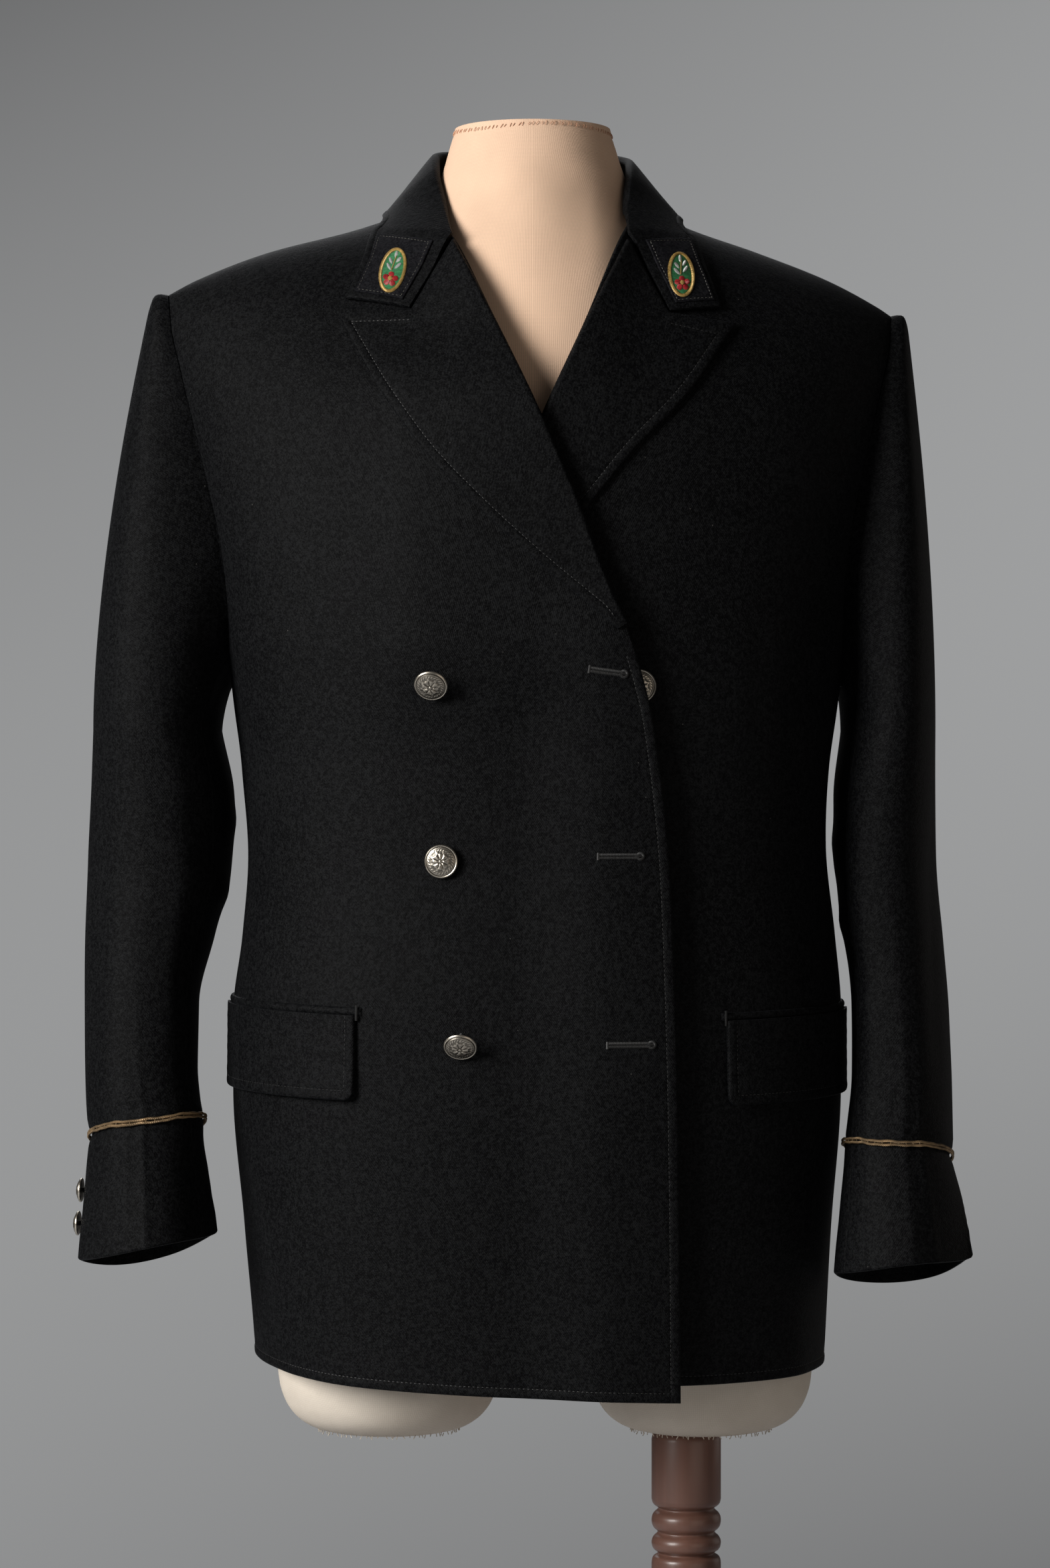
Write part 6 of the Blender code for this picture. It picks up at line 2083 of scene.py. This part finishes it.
def looks():
    """The materials, made once from the settings."""
    if LOOKS:
        return LOOKS
    chosen = bpy.context.scene.jacket
    dark, lit = tuple(chosen.cloth_dark), tuple(chosen.cloth)
    LOOKS["body"] = wool("wool_body", dark, lit, 60.0, chosen.wale, 0.012)
    LOOKS["facing"] = wool("wool_facing", dark, lit, 97.0, chosen.wale, 0.012)
    LOOKS["patch"] = wool("patch_wool", (0.003, 0.003, 0.004), (0.012, 0.012, 0.014), 40.0, 0.5, 0.006)
    LOOKS["thread"] = thread("sewing_thread", (0.016, 0.016, 0.016), (0.005, 0.005, 0.005))
    LOOKS["hole_thread"] = thread("buttonhole_thread", (0.020, 0.020, 0.020), (0.007, 0.007, 0.007))
    # Near-black thread for the painted shade in the buttonhole slits
    LOOKS["slit"] = thread("buttonhole_slit_shadow", (0.002, 0.002, 0.002), (0.001, 0.001, 0.001))
    LOOKS["border"] = thread("border_thread", (0.10, 0.097, 0.082), (0.03, 0.03, 0.026))
    LOOKS["green"] = thread("badge_green", (0.05, 0.27, 0.10), (0.015, 0.10, 0.04), 0.45)
    LOOKS["red"] = thread("badge_red", (0.50, 0.03, 0.03), (0.22, 0.01, 0.015), 0.45)
    LOOKS["silver"] = thread("badge_silver", (0.62, 0.63, 0.60), (0.30, 0.31, 0.30), 0.40, 0.35)
    LOOKS["gold"] = thread("badge_gold", (0.62, 0.42, 0.13), (0.28, 0.17, 0.05), 0.42, 0.35)
    LOOKS["gilt"] = gilt("braid_gilt", tuple(chosen.gilt), tuple(x * 0.3 for x in chosen.gilt))
    LOOKS["couching"] = thread("couching_thread", (0.34, 0.23, 0.11), (0.15, 0.10, 0.05))
    LOOKS["metal"] = nickel("button_nickel", tuple(chosen.metal), tuple(x * 0.22 for x in chosen.metal))
    LOOKS["skin"] = knit("form_jersey_knit", tuple(chosen.skin), tuple(x * 0.72 for x in chosen.skin), 0.75, 0.9)
    LOOKS["calico"] = knit("stump_calico", (0.76, 0.69, 0.60), (0.48, 0.42, 0.35), 0.7, 0.7)
    LOOKS["orange"] = thread("neck_thread", (0.66, 0.38, 0.25), (0.48, 0.25, 0.15))
    LOOKS["fray"] = thread("fray_thread", (0.62, 0.55, 0.45), (0.34, 0.29, 0.23))
    LOOKS["wood"] = painted_wood("pole_paint", tuple(chosen.wood), tuple(x * 0.35 for x in chosen.wood))
    return LOOKS


class Builder(Operator):
    """One piece or group of the jacket."""

    bl_options = {"REGISTER", "UNDO"}

    def execute(self, context):
        self.build(looks())
        return {"FINISHED"}


class JACKET_OT_fronts(Builder):
    """Build both fronts with their stitched edges"""

    bl_idname, bl_label = "jacket.fronts", "Fronts"

    def build(self, made):
        for side in ("right", "left"):
            piece, outside = front_panel(side, made["body"], made["thread"])


class JACKET_OT_backs(Builder):
    """Build both halves of the back"""

    bl_idname, bl_label = "jacket.backs", "Back"

    def build(self, made):
        for side in ("right", "left"):
            piece, outside = back_panel(side, made["body"], made["thread"])


class JACKET_OT_sleeves(Builder):
    """Build the upper and under parts of both sleeves"""

    bl_idname, bl_label = "jacket.sleeves", "Sleeves"

    def build(self, made):
        for side in ("right", "left"):
            for piece, outside in sleeve(side, made["body"]).values():
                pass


class JACKET_OT_lapels(Builder):
    """Build the peaked lapels, each folded over its roll line"""

    bl_idname, bl_label = "jacket.lapels", "Lapels"

    def build(self, made):
        for side in ("right", "left"):
            piece, outside = lapel(side, made["facing"], made["thread"])


class JACKET_OT_collar(Builder):
    """Build the collar: its fall, its crease and its stand"""

    bl_idname, bl_label = "jacket.collar", "Collar"

    def build(self, made):
        piece, outside = collar(made["facing"], made["thread"])


class JACKET_OT_pockets(Builder):
    """Build the pocket flaps and their welts"""

    bl_idname, bl_label = "jacket.pockets", "Pockets"

    def build(self, made):
        for side in ("right", "left"):
            piece, outside = pocket(side, made["body"], made["thread"])


class JACKET_OT_badges(Builder):
    """Build the collar patches and their embroidered badges"""

    bl_idname, bl_label = "jacket.badges", "Patches and badges"

    def build(self, made):
        for side in ("right", "left"):
            piece, outside = patch(side, made["patch"], made["border"])
            badge(side, made)


class JACKET_OT_braid(Builder):
    """Build the twisted cords round the cuffs"""

    bl_idname, bl_label = "jacket.braid", "Cuff braid"

    def build(self, made):
        for side in ("right", "left"):
            braid(side, made["gilt"], made["couching"])


class JACKET_OT_buttons(Builder):
    """Build the buttons, their thread shanks and the worked buttonholes"""

    bl_idname, bl_label = "jacket.buttons", "Buttons and buttonholes"

    def build(self, made):
        buttons(made["metal"], made["hole_thread"])
        buttonholes(made["hole_thread"], made["slit"])


class JACKET_OT_form(Builder):
    """Build the dress form's torso, neck and thigh stumps"""

    bl_idname, bl_label = "jacket.form", "Dress form"

    def build(self, made):
        form_skin(made["skin"], made["calico"], made["orange"])
        stumps(made["calico"], made["fray"])


class JACKET_OT_stand(Builder):
    """Build the turned pole and its round base"""

    bl_idname, bl_label = "jacket.stand", "Pole and base"

    def build(self, made):
        stand(made["wood"])


class JACKET_OT_stage(Operator):
    """Build the floor, the light and the camera"""

    bl_idname, bl_label = "jacket.stage", "Stage"
    bl_options = {"REGISTER", "UNDO"}

    def execute(self, context):
        scene = context.scene
        turn = np.linspace(0, 2 * np.pi, 96, endpoint=False)
        ring = np.stack([np.sin(turn) * FLOOR_RADIUS, np.cos(turn) * FLOOR_RADIUS, 0 * turn - 0.2], axis=-1)
        floor = add_mesh("floor", ring[::-1], [list(range(96))], [plain_stage("pale_floor", FLOOR_COLOUR)])
        scene.view_settings.view_transform = "Standard"
        scene.world = soft_room("soft_room")
        for name, place, power, size, colour in LIGHTS:
            light = bpy.data.lights.new(name, "AREA")
            light.energy, light.size, light.color = power, size, colour
            lamp = bpy.data.objects.new(name, light)
            lamp.location = place
            lamp.rotation_euler = (Vector((0.0, 0.0, 1.05)) - Vector(place)).to_track_quat("-Z", "Y").to_euler()
            scene.collection.objects.link(lamp)
        lens = bpy.data.cameras.new("camera")
        lens.lens, lens.sensor_width, lens.sensor_fit = CAMERA_LENS, 36.0, "AUTO"
        camera = bpy.data.objects.new("camera", lens)
        camera.location = (CAMERA_X, -scene.jacket.camera_distance, CAMERA_Z)
        camera.rotation_euler = (np.pi / 2, 0.0, 0.0)
        scene.collection.objects.link(camera)
        scene.camera = camera
        return {"FINISHED"}


BUILDERS = (
    JACKET_OT_form, JACKET_OT_stand, JACKET_OT_fronts, JACKET_OT_backs, JACKET_OT_sleeves, JACKET_OT_lapels,
    JACKET_OT_collar, JACKET_OT_pockets, JACKET_OT_badges, JACKET_OT_braid, JACKET_OT_buttons, JACKET_OT_stage,
)


class JACKET_PT_panel(Panel):
    """Jacket pieces and settings"""

    bl_idname, bl_label = "JACKET_PT_panel", "Jacket"
    bl_space_type, bl_region_type, bl_category = "VIEW_3D", "UI", "Jacket"

    def draw(self, context):
        chosen = context.scene.jacket
        for key in JacketSettings.__annotations__:
            self.layout.prop(chosen, key)
        for builder in BUILDERS:
            self.layout.operator(builder.bl_idname)


CLASSES = (JacketSettings, *BUILDERS, JACKET_PT_panel)


def register():
    for made in CLASSES:
        bpy.utils.register_class(made)
    bpy.types.Scene.jacket = PointerProperty(type=JacketSettings)


def unregister():
    del bpy.types.Scene.jacket
    for made in reversed(CLASSES):
        bpy.utils.unregister_class(made)


def main():
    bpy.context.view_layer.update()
    register()
    for builder in BUILDERS:
        group, name = builder.bl_idname.split(".")
        getattr(getattr(bpy.ops, group), name)()


if __name__ == "__main__":
    main()
